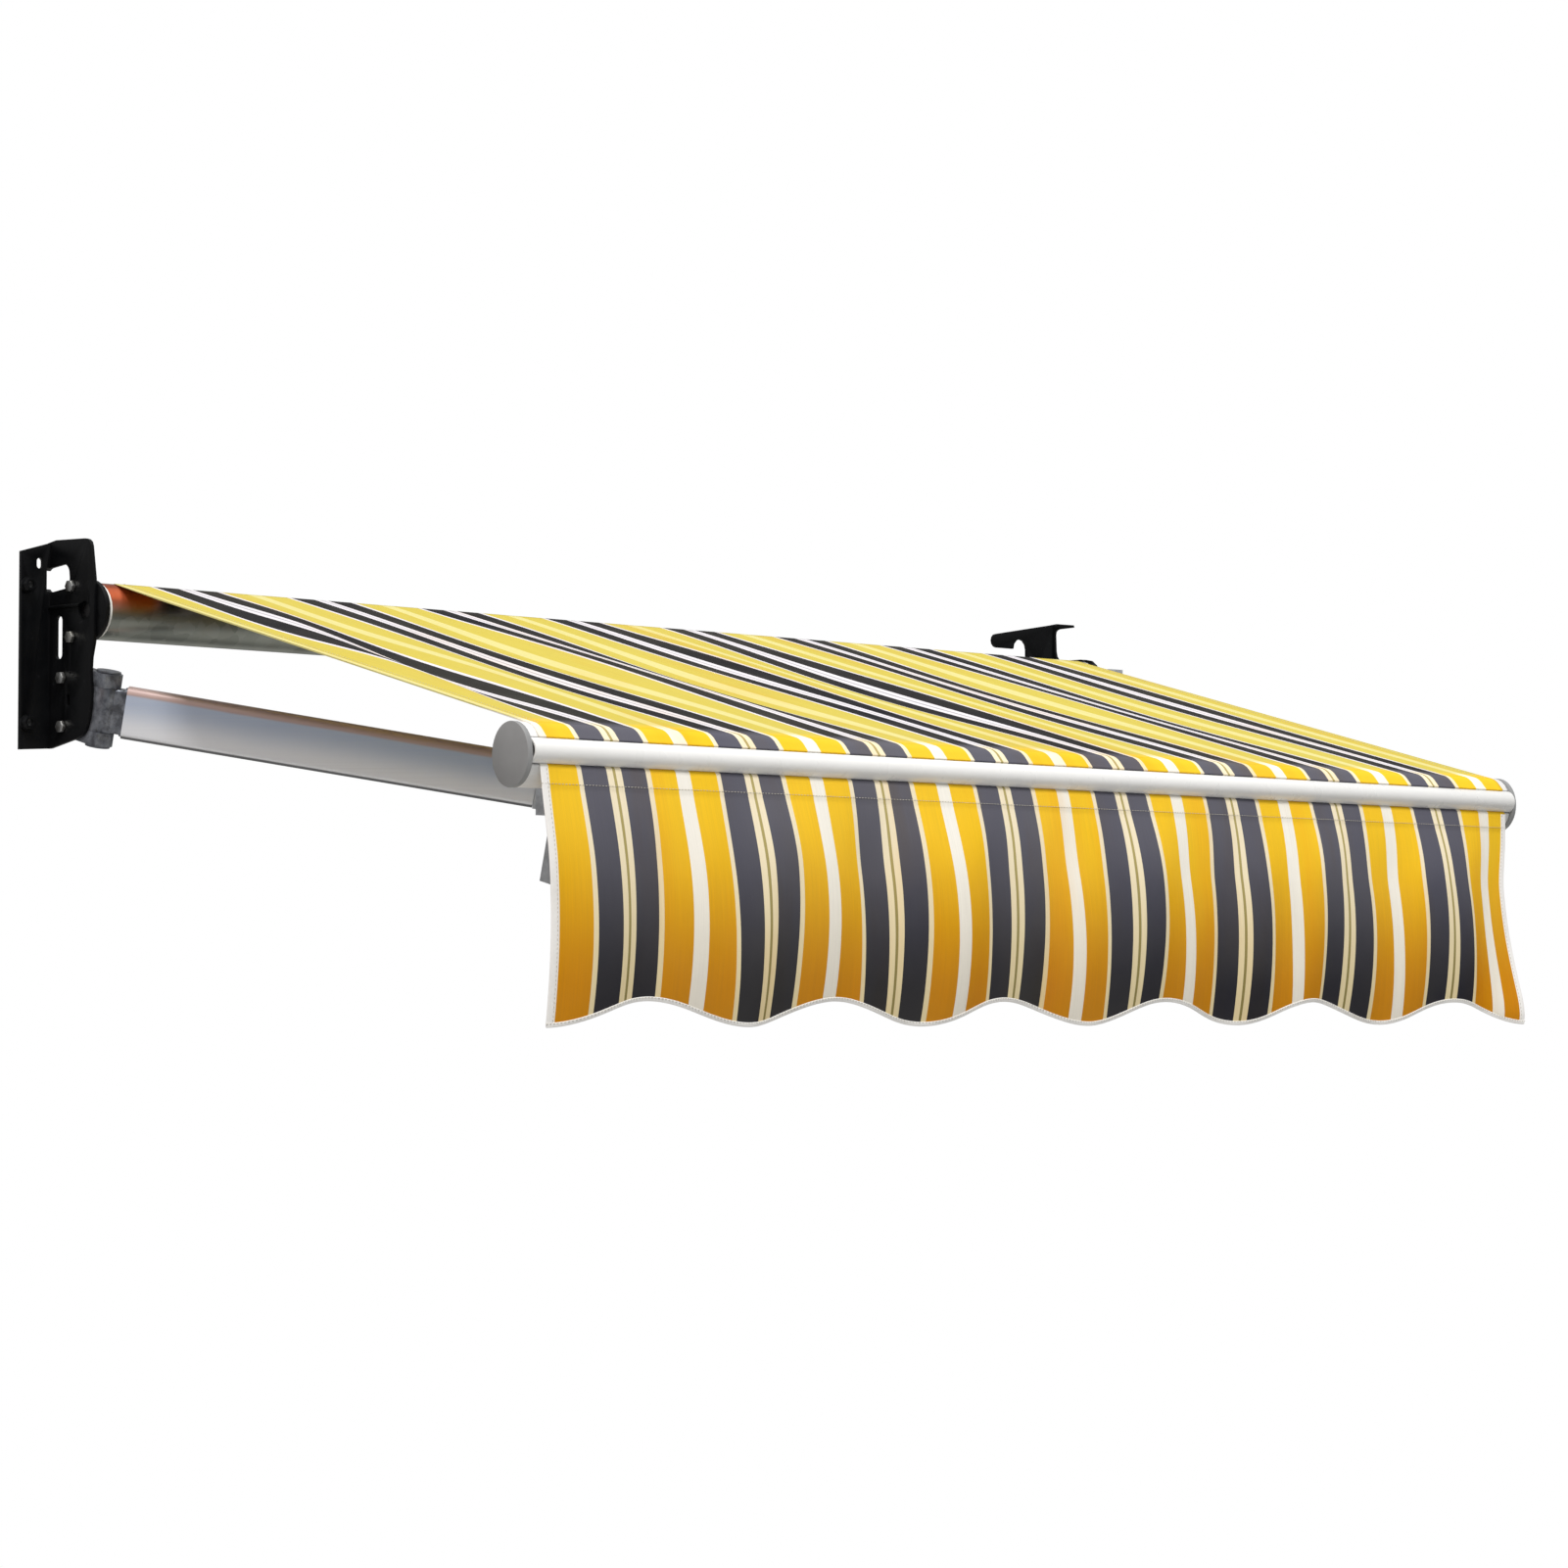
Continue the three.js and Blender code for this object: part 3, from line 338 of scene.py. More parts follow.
def stripedCanvas(name, upper, lower, start, end):  # the colours change from upper to lower along it: painted light and shade on the cloth
    settings = stripeSettings
    material, graph, place = startMaterial(name)
    across = graph.split(graph.add("ShaderNodeUVMap", {"uv_map": "flat"}))
    along = across.output("Y")

    def drawnOut(width, length, detail, roughness=0.5):  # noise with its own scale each way of the cloth
        return graph.noise(graph.vector(across * width, along * length, 0.0), 1.0, detail, roughness)

    wobble = (drawnOut(2.0, 9.0, 1.0) - 0.5) * settings["wobble"]
    share = ((across + wobble) / settings["period"]).maths("FRACT")
    edges = [0.0] + [edge for edge, yarn in settings["stripes"][:-1]]

    def dyed(yarns):
        stops = [(edge, colour(settings[yarns][yarn]))
                 for edge, (nextEdge, yarn) in zip(edges, settings["stripes"])]
        ramp = graph.add("ShaderNodeValToRGB", {"stops": stops}, {0: share})
        ramp.socket.node.color_ramp.interpolation = "CONSTANT"
        return ramp

    slubs, tan, dust = settings["slubs"], settings["tan"], settings["dust"]
    # blends the upper colours into the lower along the cloth: painted light and shade
    dyeWithPaintedLight = graph.mixColour(graph.between(along, start, end), dyed(upper), dyed(lower))
    yarn = graph.mixColour(graph.fit(drawnOut(700.0, 9.0, 2.0)) * slubs["share"], dyeWithPaintedLight, slubs["tint"])
    streaks = graph.between(drawnOut(9.0, 1.6, 3.0, 0.6), tan["from"], tan["full"])
    tanned = graph.mixColour(streaks * tan["share"], yarn, graph.vectors("MULTIPLY", yarn, tan["tint"]))
    clouds = graph.fit(graph.noise(place, 3.0, 4.0, 0.6))
    warp = sine(across * (2 * math.pi / settings["weave"]))
    weft = sine(along * (2 * math.pi / settings["weave"]))
    creases = drawnOut(7.0, 3.5, 3.0, 0.45)
    graph.surface({
        "Base Color": graph.mixColour(clouds * dust["share"], tanned, colour(dust["tint"])),
        "Roughness": graph.fit(graph.noise(place, 14.0), *settings["roughness"]),
        "Specular IOR Level": settings["gloss"],
    }, warp * weft * (settings["weaveDepth"] / 2) + creases * settings["creaseDepth"])
    return material


trimSettings = {
    "thread": {"shades": ("d6d2c4", "bdb7a6"), "sheen": 0.3, "twist": 0.0002, "roughness": (0.5, 0.7)},
    "binding": {"shades": ("f3f1ee", "cfcac2"), "dirt": 0.35, "sheen": 0.25, "rib": 0.0014,
                "ribDepth": 0.00007, "fluff": 0.0001, "roughness": (0.6, 0.8)},
}


def threadMaterial():
    looks = trimSettings["thread"]
    material, graph, place = startMaterial("sewingThread")
    graph.surface({
        "Base Color": graph.shades(graph.fit(graph.noise(place, 900.0, 2.0)), looks["shades"]),
        "Roughness": graph.fit(graph.noise(place, 300.0), *looks["roughness"]),
        "Sheen Weight": looks["sheen"],
    }, graph.noise(place, 2500.0), looks["twist"])
    return material


def bindingMaterial():
    looks = trimSettings["binding"]
    material, graph, place = startMaterial("whiteBinding")
    dirt = graph.between(graph.noise(place, 9.0, 5.0, 0.65), 0.5, 0.75)
    ribs = sine(graph.split(place) * (2 * math.pi / looks["rib"]))
    graph.surface({
        "Base Color": graph.shades(dirt * looks["dirt"], looks["shades"]),
        "Roughness": graph.fit(graph.noise(place, 30.0), *looks["roughness"]),
        "Sheen Weight": looks["sheen"],
    }, ribs * looks["ribDepth"] + graph.noise(place, 1200.0) * looks["fluff"])
    return material


paintSettings = {
    "blackPowderCoat": {"shades": ("07080a", "1d1e22"), "dust": 0.15, "dustScale": 24.0,
                        "scuffed": "55565a", "scuff": 0.2, "gloss": 0.16, "roughness": (0.36, 0.5)},
    "whitePowderCoat": {"shades": ("f1f1f0", "e2e0dc"), "dust": 0.15, "dustScale": 3.0,
                        "scuffed": "cfcdc8", "scuff": 0.0, "gloss": 0.5, "roughness": (0.24, 0.36)},
}


def coatedMetal(name):  # powder coat: slight orange peel, dust and small scuffs
    looks = paintSettings[name]
    material, graph, place = startMaterial(name)
    dust = graph.between(graph.noise(place, looks["dustScale"], 6.0, 0.62), 0.48, 0.78)
    scuffs = graph.between(graph.noise(place, 160.0, 4.0, 0.7), 0.66, 0.72)
    base = graph.shades(dust * looks["dust"], looks["shades"])
    peel = graph.noise(place, 750.0, 2.0) * 0.00022 + graph.noise(place, 60.0, 2.0) * 0.0003
    graph.surface({
        "Base Color": graph.mixColour(scuffs * looks["scuff"], base, colour(looks["scuffed"])),
        "Roughness": graph.fit(graph.noise(place, 35.0, 4.0), *looks["roughness"]) + scuffs * 0.1,
        "Specular IOR Level": looks["gloss"],
    }, peel - scuffs * 0.00003)
    return material


steelSettings = {
    "spangle": 42.0, "bend": 0.02, "shades": ("777b76", "8f938d"), "metallic": 0.95, "roughness": 0.30,
    "stain": {"tint": "8a8577", "share": 0.5},
    # painted reflections: a brown band on the upper front and an orange patch at the upper left end
    "paintedBrownReflection": {"tint": "6d4a33", "share": 0.55, "out": (0.084, 0.104), "height": (-0.012, 0.020)},
    "paintedOrangeReflection": {"tint": "c9551f", "share": 0.7, "left": (0.90, 0.97), "ragged": 0.12},
}


def spangledSteel():  # hot-dip galvanised tube with its crystal pattern, a painted brown reflection along its upper front and a painted orange reflection at its upper left end
    settings = steelSettings
    stain, paintedBrownReflection, paintedOrangeReflection = settings["stain"], settings["paintedBrownReflection"], settings["paintedOrangeReflection"]
    material, graph, place = startMaterial("galvanisedSteel")
    bent = graph.vectors("ADD", place, graph.vectors(
        "MULTIPLY", graph.noise(place, 40.0).output("Color"), (settings["bend"],) * 3))
    cells = graph.add("ShaderNodeTexVoronoi", None, {"Vector": bent, "Scale": settings["spangle"]}, "Color")
    crystal = graph.add("ShaderNodeSeparateColor", None, {0: cells}, "Red")
    stained = graph.between(graph.noise(place, 5.0, 5.0, 0.6), 0.45, 0.75)
    x = graph.split(place)
    # the upper side of the front face, where the painted reflections go
    front = graph.between(-x.output("Y"), *paintedBrownReflection["out"])
    upper = graph.between(x.output("Z"), *paintedBrownReflection["height"]) * (front * 0.8 + 0.2)
    shade = graph.shades(crystal, settings["shades"])
    shade = graph.mixColour(stained * stain["share"], shade, colour(stain["tint"]))
    shade = graph.mixColour(upper * paintedBrownReflection["share"], shade, colour(paintedBrownReflection["tint"]))
    # painted orange reflection at the left end of the upper front
    ragged = (graph.noise(place, 14.0, 4.0) - 0.5) * paintedOrangeReflection["ragged"]
    orangeReflectionMask = graph.between(-x + ragged, *paintedOrangeReflection["left"]) * upper
    graph.surface({
        "Base Color": graph.mixColour(orangeReflectionMask * paintedOrangeReflection["share"], shade, colour(paintedOrangeReflection["tint"])),
        "Metallic": settings["metallic"] - stained * 0.2,
        "Roughness": crystal * 0.06 + settings["roughness"] + stained * 0.12,
    }, crystal * 0.00002 + graph.noise(place, 300.0) * 0.00005)
    return material


zincSettings = {"shades": ("b3b5b6", "9d9b94"), "metallic": (0.9, 0.98), "roughness": (0.26, 0.46),
                "grain": 0.0001}


def zincPlated():
    material, graph, place = startMaterial("zincPlated")
    tint = graph.fit(graph.noise(place, 45.0, 4.0))
    least, most = zincSettings["metallic"]
    graph.surface({
        "Base Color": graph.shades(tint, zincSettings["shades"]),
        "Metallic": least + tint * (most - least),
        "Roughness": graph.fit(graph.noise(place, 160.0), *zincSettings["roughness"]),
    }, graph.noise(place, 700.0), zincSettings["grain"])
    return material


armSettings = {"tilt": math.radians(14), "y": -0.096, "z": -0.134}  # the plane the arms swing in
profileSettings = {  # heights are measured from that plane, square to it
    "tubes": {  # material, and the turn that lays its lines along the tube
        "left_upper_arm_tube": ("drawnAluminiumLeftUpper", 43.1),
        "right_upper_arm_tube": ("drawnAluminiumRightUpper", -43.1),
        "left_forearm_tube": ("drawnAluminiumLeftFore", -47.6),
        "right_forearm_tube": ("drawnAluminiumRightFore", 47.6)},
    # painted reflections: lighter towards the bottom and bluer at the top, a brownish band near the top, a
    # dark line along the bottom edge
    "shades": ("f6f9ff", "bccbe4"), "paintedReflectionFade": (-0.024, 0.022), "clouds": 0.004,
    "lines": {"tint": "d9dce2", "share": 0.25, "across": 420.0, "along": 2.5, "depth": 0.00006},
    "paintedBrownBand": {"tint": "c8a698", "share": 0.8, "height": (0.0235, 0.0275)},
    "paintedDarkEdge": {"tint": "2e2f33", "share": 0.9, "depth": (0.0300, 0.0325)},
    "roughness": (0.34, 0.46),
}


def anodisedProfile(name, turn):  # drawn aluminium: fine lines along the profile, with painted reflections: lighter towards the bottom, a brownish band near the top and a dark line along the bottom edge
    settings = profileSettings
    drawn, upper, lower = settings["lines"], settings["paintedBrownBand"], settings["paintedDarkEdge"]
    material, graph, place = startMaterial(name)
    turned = graph.add("ShaderNodeMapping", None, {
        "Vector": place, "Rotation": (0.0, 0.0, math.radians(turn))})
    pulled = graph.vectors("MULTIPLY", turned, (drawn["along"], drawn["across"], drawn["across"]))
    lines = graph.noise(pulled, 1.0, 3.0, 0.6)
    x = graph.split(place)
    rise = (x.output("Z") - armSettings["z"]) * math.cos(armSettings["tilt"])
    height = rise - (x.output("Y") - armSettings["y"]) * math.sin(armSettings["tilt"])
    clouds = graph.fit(graph.noise(place, 4.0, 4.0), -settings["clouds"], settings["clouds"])
    # lighter towards the bottom, bluer at the top: a painted reflection
    base = graph.shades(graph.between(height + clouds, *settings["paintedReflectionFade"]), settings["shades"])
    base = graph.mixColour(graph.fit(lines, 0.0, drawn["share"]), base, colour(drawn["tint"]))
    # brownish band near the top and dark line at the bottom edge: painted reflections
    base = graph.mixColour(graph.between(height + clouds * 0.3, *upper["height"]) * upper["share"],
                           base, colour(upper["tint"]))
    base = graph.mixColour(graph.between(-height, *lower["depth"]) * lower["share"],
                           base, colour(lower["tint"]))
    graph.surface({
        "Base Color": base,
        "Metallic": graph.between(height, -0.03, 0.02) * 0.2 + 0.15,
        "Roughness": graph.fit(lines, *settings["roughness"]),
    }, lines * drawn["depth"] + graph.noise(place, 30.0) * 0.0001)
    return material


castingSettings = {
    "castAluminium": {"shades": ("a9acb1", "cfd2d6"), "grimy": 0.2},
    "darkCastAluminium": {"shades": ("565a63", "9a9ea6"), "grimy": 0.75},
    "grime": "2f3036", "roughness": (0.38, 0.56), "pits": 0.0007,
}


def castAluminium(name):  # mottled die casting, with grime in its hollows
    looks = castingSettings[name]
    material, graph, place = startMaterial(name)
    mottle = graph.fit(graph.noise(place, 60.0, 5.0, 0.65))
    grime = graph.between(graph.noise(place, 28.0, 5.0, 0.7), 0.48, 0.66)
    shade = graph.shades(mottle, looks["shades"])
    graph.surface({
        "Base Color": graph.mixColour(grime * looks["grimy"], shade, colour(castingSettings["grime"])),
        "Metallic": 0.75 - grime * 0.3,
        "Roughness": graph.fit(mottle, *castingSettings["roughness"]),
    }, graph.noise(place, 260.0, 4.0, 0.6) * castingSettings["pits"] + mottle * 0.0002)
    return material


plasticSettings = {
    "greyCapPlastic": {"shades": ("8e8f90", "999a9b"), "roughness": (0.42, 0.55), "gloss": 0.45},
    "darkPlastic": {"shades": ("1d1d1f", "2b2b2e"), "roughness": (0.4, 0.55), "gloss": 0.45},
    "whiteNylon": {"shades": ("e9e8e3", "f5f4f0"), "roughness": (0.4, 0.55), "gloss": 0.5},
    "grain": 0.00012,
}
plugSettings = {"axisOut": 0.084, "pin": 0.0125, "ring": 0.0135, "pinTint": "141416"}


def mouldedPlastic(name):
    looks = plasticSettings[name]
    material, graph, place = startMaterial(name)
    shade = graph.shades(graph.fit(graph.noise(place, 22.0, 4.0)), looks["shades"])
    if name == "whiteNylon":  # the roller's plug, with a dark steel pin in its middle
        y = graph.split(place).output("Y")
        away, high = y + plugSettings["axisOut"], y.output("Z")
        outside = graph.between(away * away + high * high,
                                plugSettings["pin"] ** 2, plugSettings["ring"] ** 2)
        shade = graph.mixColour(outside, colour(plugSettings["pinTint"]), shade)
    graph.surface({
        "Base Color": shade,
        "Roughness": graph.fit(graph.noise(place, 90.0), *looks["roughness"]),
        "Specular IOR Level": looks["gloss"],
    }, graph.noise(place, 1500.0, 2.0) * plasticSettings["grain"])
    return material


finishes = {
    "black_steel": coatedMetal("blackPowderCoat"),
    "white_coat": coatedMetal("whitePowderCoat"),
    "galvanised": spangledSteel(),
    "zinc": zincPlated(),
    "cast_grey": castAluminium("castAluminium"),
    "cap_grey": mouldedPlastic("greyCapPlastic"),
    "dark_plastic": mouldedPlastic("darkPlastic"),
}
armFinishes = {node: anodisedProfile(*tube) for node, tube in profileSettings["tubes"].items()}
nylon = mouldedPlastic("whiteNylon")
darkCasting = castAluminium("darkCastAluminium")
paintedLightSpans = {"valance": (0.02, 0.30), "canopy": (-0.035, 0.004)}  # where painted light changes: painted shade comes in down the valance, and the canopy's painted glare ends near the bar's crest
# the valance darkens towards the bottom: painted shade
valanceCanvas = stripedCanvas("valanceCanvas", "fresh", "paintedShade", *paintedLightSpans["valance"])
thread = threadMaterial()
binding = bindingMaterial()
print("materials made:", len(bpy.data.materials))


def link(name, mesh, material):
    mesh.materials.clear()
    mesh.materials.append(material)
    piece = bpy.data.objects.new(name, mesh)
    bpy.context.scene.collection.objects.link(piece)
    return piece


def smoothed(mesh, angle):
    for face in mesh.polygons:
        face.use_smooth = True
    shape = bmesh.new()
    shape.from_mesh(mesh)
    limit = math.radians(angle)
    for edge in shape.edges:
        edge.smooth = len(edge.link_faces) == 2 and edge.calc_face_angle(0.0) < limit
    shape.to_mesh(mesh)
    shape.free()


def applied(piece):  # the piece's mesh with its modifiers worked in
    bpy.context.view_layer.update()
    depsgraph = bpy.context.evaluated_depsgraph_get()
    mesh = bpy.data.meshes.new_from_object(piece.evaluated_get(depsgraph), depsgraph=depsgraph)
    old = piece.data
    piece.modifiers.clear()
    piece.data = mesh
    bpy.data.meshes.remove(old)
    return piece


def sheetMesh(name, place, uSteps, vSteps):  # grid of cloth; place gives a point and its flat spot
    mesh = bpy.data.meshes.new(name)
    points, flats, faces = [], [], []
    for j in range(vSteps + 1):
        for i in range(uSteps + 1):
            point, flat = place(i / uSteps, j / vSteps)
            points.append(point)
            flats.append(flat)
    row = uSteps + 1
    for j in range(vSteps):
        for i in range(uSteps):
            a = j * row + i
            faces.append((a, a + row, a + row + 1, a + 1))
    mesh.from_pydata(points, [], faces)
    layer = mesh.uv_layers.new(name="flat")
    for loop in mesh.loops:
        layer.data[loop.index].uv = flats[loop.vertex_index]
    for face in mesh.polygons:
        face.use_smooth = True
    return mesh


def thicken(piece):  # gives a sheet the canvas thickness, half on either side
    skin = piece.modifiers.new("thickness", "SOLIDIFY")
    skin.thickness = clothSettings["thickness"]
    skin.offset = 0.0
    skin.use_even_offset = True
    return applied(piece)


def ribbon(name, rails, material):  # closed strip: rails is a list of cross-sections
    mesh = bpy.data.meshes.new(name)
    size = len(rails[0])
    points = [point for section in rails for point in section]
    faces = []
    for k in range(len(rails) - 1):
        for i in range(size):
            j = (i + 1) % size
            faces.append((k * size + i, (k + 1) * size + i, (k + 1) * size + j, k * size + j))
    faces.append(tuple(range(size)))
    faces.append(tuple(reversed(range((len(rails) - 1) * size, len(rails) * size))))
    mesh.from_pydata(points, [], faces)
    shape = bmesh.new()
    shape.from_mesh(mesh)
    bmesh.ops.recalc_face_normals(shape, faces=shape.faces)
    shape.to_mesh(mesh)
    shape.free()
    smoothed(mesh, 50)
    return link(name, mesh, material)


def joined(name, pieces, material):
    shape = bmesh.new()
    for piece in pieces:
        shape.from_mesh(piece.data)
        bpy.data.objects.remove(piece)
    mesh = bpy.data.meshes.new(name)
    shape.to_mesh(mesh)
    shape.free()
    return link(name, mesh, material)


clothSettings = {
    "width": 2.0, "left": -1.0, "thickness": 0.0007, "cells": (300, 84),
    "rollerAxis": (-0.084, 0.0), "rollerRadius": 0.0398,
    "barAxis": (-0.936, -0.229), "barHalf": (0.0316, 0.0416),
    "sag": 0.003, "tautLeft": 0.03, "tautRight": 0.06,  # the side hems are drawn tight
}
waveSettings = {
    "waves": [  # height, ridges per metre, start, drift towards the bar
        (0.0050, 3.1, 2.4, 1.5), (0.0030, 5.3, 2.0, -1.9), (0.0015, 8.3, 4.2, 2.4)],
    "calm": 0.2, "lively": 0.8, "narrow": 0.9, "shift": 0.35,  # livelier near the left edge
}
foldSettings = {  # one slanting fold near the left edge, a ridge beside a valley
    "ridge": 0.0150, "valley": 0.0060, "at": 0.205, "drift": 0.14, "apart": 0.046, "wide": 0.043,
}


def crestSize(lean):  # from the bar's axis to a line of this slope laid on its rounded crest
    halfDepth, halfHeight = clothSettings["barHalf"]
    return math.hypot(halfDepth * math.sin(lean), halfHeight * math.cos(lean))


def onCrest(lean):  # where that line touches the crest
    (barY, barZ), (halfDepth, halfHeight) = clothSettings["barAxis"], clothSettings["barHalf"]
    size = crestSize(lean)
    return barY - halfDepth ** 2 * math.sin(lean) / size, barZ + halfHeight ** 2 * math.cos(lean) / size


def canopyLine():  # slope, start and end of the cloth, tangent to the roller and to the bar
    (rollerY, rollerZ), (barY, barZ) = clothSettings["rollerAxis"], clothSettings["barAxis"]
    radius = clothSettings["rollerRadius"]
    run, drop = rollerY - barY, rollerZ - barZ
    slope = math.atan2(drop, run)
    for step in range(6):  # settles on the common tangent
        slope = math.atan2(drop, run) - math.asin((crestSize(slope) - radius) / math.hypot(run, drop))
    start = (rollerY - radius * math.sin(slope), rollerZ + radius * math.cos(slope))
    return slope, start, onCrest(slope)


slope, canopyStart, canopyEnd = canopyLine()
canopyLength = math.dist(canopyStart, canopyEnd)
# painted glare on the canopy's top, giving way to the cloth's own colours at the bar's crest
canopyCanvas = stripedCanvas("canopyCanvas", "glareLit", "fresh",
                             *(canopyLength + offset for offset in paintedLightSpans["canopy"]))


def canopyRise(u, t):  # how far the cloth stands off its straight line; numbers or wires
    belly = t * (1 - t) * 4.0
    belly = belly * belly  # flat against the roller and the bar
    rise = 0.0
    for height, ridges, start, drift in waveSettings["waves"]:
        rise = rise + sine(u * (2 * math.pi * ridges) + start + t * drift) * height
    near = fading(u * waveSettings["narrow"] - waveSettings["shift"])
    rise = rise * (waveSettings["calm"] + near * waveSettings["lively"])
    fold = foldSettings
    across = u - fold["at"] + t * fold["drift"]
    rise = rise + fading((across + fold["apart"]) / fold["wide"]) * fold["ridge"]
    rise = rise - fading((across - fold["apart"]) / fold["wide"]) * fold["valley"] - clothSettings["sag"]
    right = clothSettings["width"] - u
    taut = fading(u / clothSettings["tautLeft"]) + fading(right / clothSettings["tautRight"])
    return belly * rise * (1 - taut)


def canopyPlace(u, t, lift=0.0):
    rise = canopyRise(u, t) + lift
    along = t * canopyLength
    y = canopyStart[0] - along * math.cos(slope) - rise * math.sin(slope)
    z = canopyStart[1] - along * math.sin(slope) + rise * math.cos(slope)
    return u + clothSettings["left"], y, z


def geometryTree(name, inputs):
    tree = bpy.data.node_groups.new(name, "GeometryNodeTree")
    sockets = {}
    for label, kind in inputs:
        sockets[label] = tree.interface.new_socket(label, in_out="INPUT", socket_type="NodeSocket" + kind)
    tree.interface.new_socket("Geometry", in_out="OUTPUT", socket_type="NodeSocketGeometry")
    graph = Graph(tree)
    entry = tree.nodes.new("NodeGroupInput")
    exitNode = tree.nodes.new("NodeGroupOutput")
    wires = {label: Wire(graph, entry.outputs[label]) for label, kind in inputs}
    return tree, graph, sockets, wires, exitNode


def finishTree(graph, geometry, material, exitNode):
    real = graph.add("GeometryNodeRealizeInstances", None, {0: geometry})
    painted = graph.add("GeometryNodeSetMaterial", None, {"Geometry": real, "Material": material})
    graph.put(exitNode.inputs[0], painted)


def grown(name, mesh, tree, sockets, values):  # runs a tree on a piece and keeps the plain mesh
    piece = bpy.data.objects.new(name, mesh)
    bpy.context.scene.collection.objects.link(piece)
    modifier = piece.modifiers.new("rule", "NODES")
    modifier.node_group = tree
    for label, value in values.items():
        modifier[sockets[label].identifier] = value
    return applied(piece)


def makeCanopy():
    tree, graph, sockets, wires, exitNode = geometryTree("canopyRule", [
        ("Geometry", "Geometry"), ("Width", "Float"), ("Length", "Float"),
        ("Rows across", "Int"), ("Rows along", "Int"), ("Canvas", "Material")])
    grid = graph.add("GeometryNodeMeshGrid", None, {
        "Size X": wires["Width"], "Size Y": wires["Length"],
        "Vertices X": wires["Rows across"], "Vertices Y": wires["Rows along"]}, "Mesh")
    x = graph.split(graph.add("GeometryNodeInputPosition"))
    u = x + wires["Width"] / 2
    t = 0.5 - x.output("Y") / wires["Length"]
    named = graph.add("GeometryNodeStoreNamedAttribute", {"data_type": "FLOAT2", "domain": "CORNER"}, {
        "Geometry": grid, "Name": "flat", "Value": graph.vector(u, t * wires["Length"], 0.0)})
    moved = graph.add("GeometryNodeSetPosition", None, {
        "Geometry": named, "Position": graph.vector(*canopyPlace(u, t))})
    smooth = graph.add("GeometryNodeSetShadeSmooth", None, {0: moved})
    finishTree(graph, smooth, wires["Canvas"], exitNode)
    across, along = clothSettings["cells"]
    return thicken(grown("canopyCloth", bpy.data.meshes.new("canopySeed"), tree, sockets, {
        "Width": clothSettings["width"], "Length": canopyLength, "Rows across": across + 1,
        "Rows along": along + 1, "Canvas": canopyCanvas}))


stitchSettings = {"pitch": 0.0055, "size": (0.0040, 0.0011, 0.0009), "varies": (0.88, 1.06)}


def stitchTree():
    tree, graph, sockets, wires, exitNode = geometryTree("stitchRow", [
        ("Geometry", "Geometry"), ("Pitch", "Float"), ("Stitch", "Vector"),
        ("Seed", "Int"), ("Thread", "Material")])
    curve = graph.add("GeometryNodeMeshToCurve", None, {0: wires["Geometry"]})
    spaced = graph.add("GeometryNodeResampleCurve", {"mode": "LENGTH"}, {
        "Curve": curve, "Length": wires["Pitch"]})
    bead = graph.add("GeometryNodeMeshUVSphere", None, {"Segments": 6, "Rings": 4, "Radius": 0.5})
    tangent = graph.add("GeometryNodeInputTangent")
    turn = graph.add("FunctionNodeAlignRotationToVector", {"axis": "X"}, {"Vector": tangent})
    least, most = stitchSettings["varies"]
    jitter = graph.add("FunctionNodeRandomValue", {"data_type": "FLOAT"}, {
        "Min": least, "Max": most, "Seed": wires["Seed"]}, 1)
    size = graph.vectors("MULTIPLY", wires["Stitch"], graph.vector(jitter, jitter, 1.0))
    row = graph.add("GeometryNodeInstanceOnPoints", None, {
        "Points": spaced, "Instance": bead, "Rotation": turn, "Scale": size})
    finishTree(graph, row, wires["Thread"], exitNode)
    return tree, sockets


stitchRule, stitchSockets = stitchTree()


def stitches(name, paths, seed):  # a row of sewn stitches along each path
    mesh = bpy.data.meshes.new(name + "Path")
    points, edges = [], []
    for path in paths:
        first = len(points)
        points.extend(path)
        edges.extend((first + i, first + i + 1) for i in range(len(path) - 1))
    mesh.from_pydata(points, edges, [])
    piece = grown(name, mesh, stitchRule, stitchSockets, {
        "Pitch": stitchSettings["pitch"], "Stitch": stitchSettings["size"], "Seed": seed,
        "Thread": thread})
    for face in piece.data.polygons:
        face.use_smooth = True
    return piece


hemSettings = {
    "width": 0.022, "sections": 60, "under": -0.0003, "depth": 0.0013, "swells": 8,  # thin on the roller
    "corner": 0.9, "sewnAt": 0.82, "threadLift": 0.0006, "threadPoints": 120, "seed": 4,
}


def canopyHems():  # the side edges are folded under and sewn
    settings = hemSettings
    strips, rows = [], []
    width, hem, under = clothSettings["width"], settings["width"], settings["under"]
    for edge, inner in ((0.0, hem), (width, width - hem)):
        rails = []
        for k in range(settings["sections"] + 1):
            t = k / settings["sections"]
            fold = under - settings["depth"] * min(1.0, t * settings["swells"])
            corners = ((0.0, under), (0.0, fold), (settings["corner"], fold), (1.0, under))
            rails.append([canopyPlace(edge + (inner - edge) * share, t, lift) for share, lift in corners])
        strips.append(ribbon("hemStrip", rails, canopyCanvas))
        sewn = edge + (inner - edge) * settings["sewnAt"]
        count = settings["threadPoints"]
        rows.append([canopyPlace(sewn, k / count, settings["threadLift"]) for k in range(count + 1)])
    hems = joined("canopySideHems", strips, canopyCanvas)
    layer = hems.data.uv_layers.new(name="flat")
    for loop in hems.data.loops:
        corner = hems.data.vertices[loop.vertex_index].co
        layer.data[loop.index].uv = (corner.x - clothSettings["left"], -corner.y)
    return hems, stitches("canopyStitching", rows, settings["seed"])


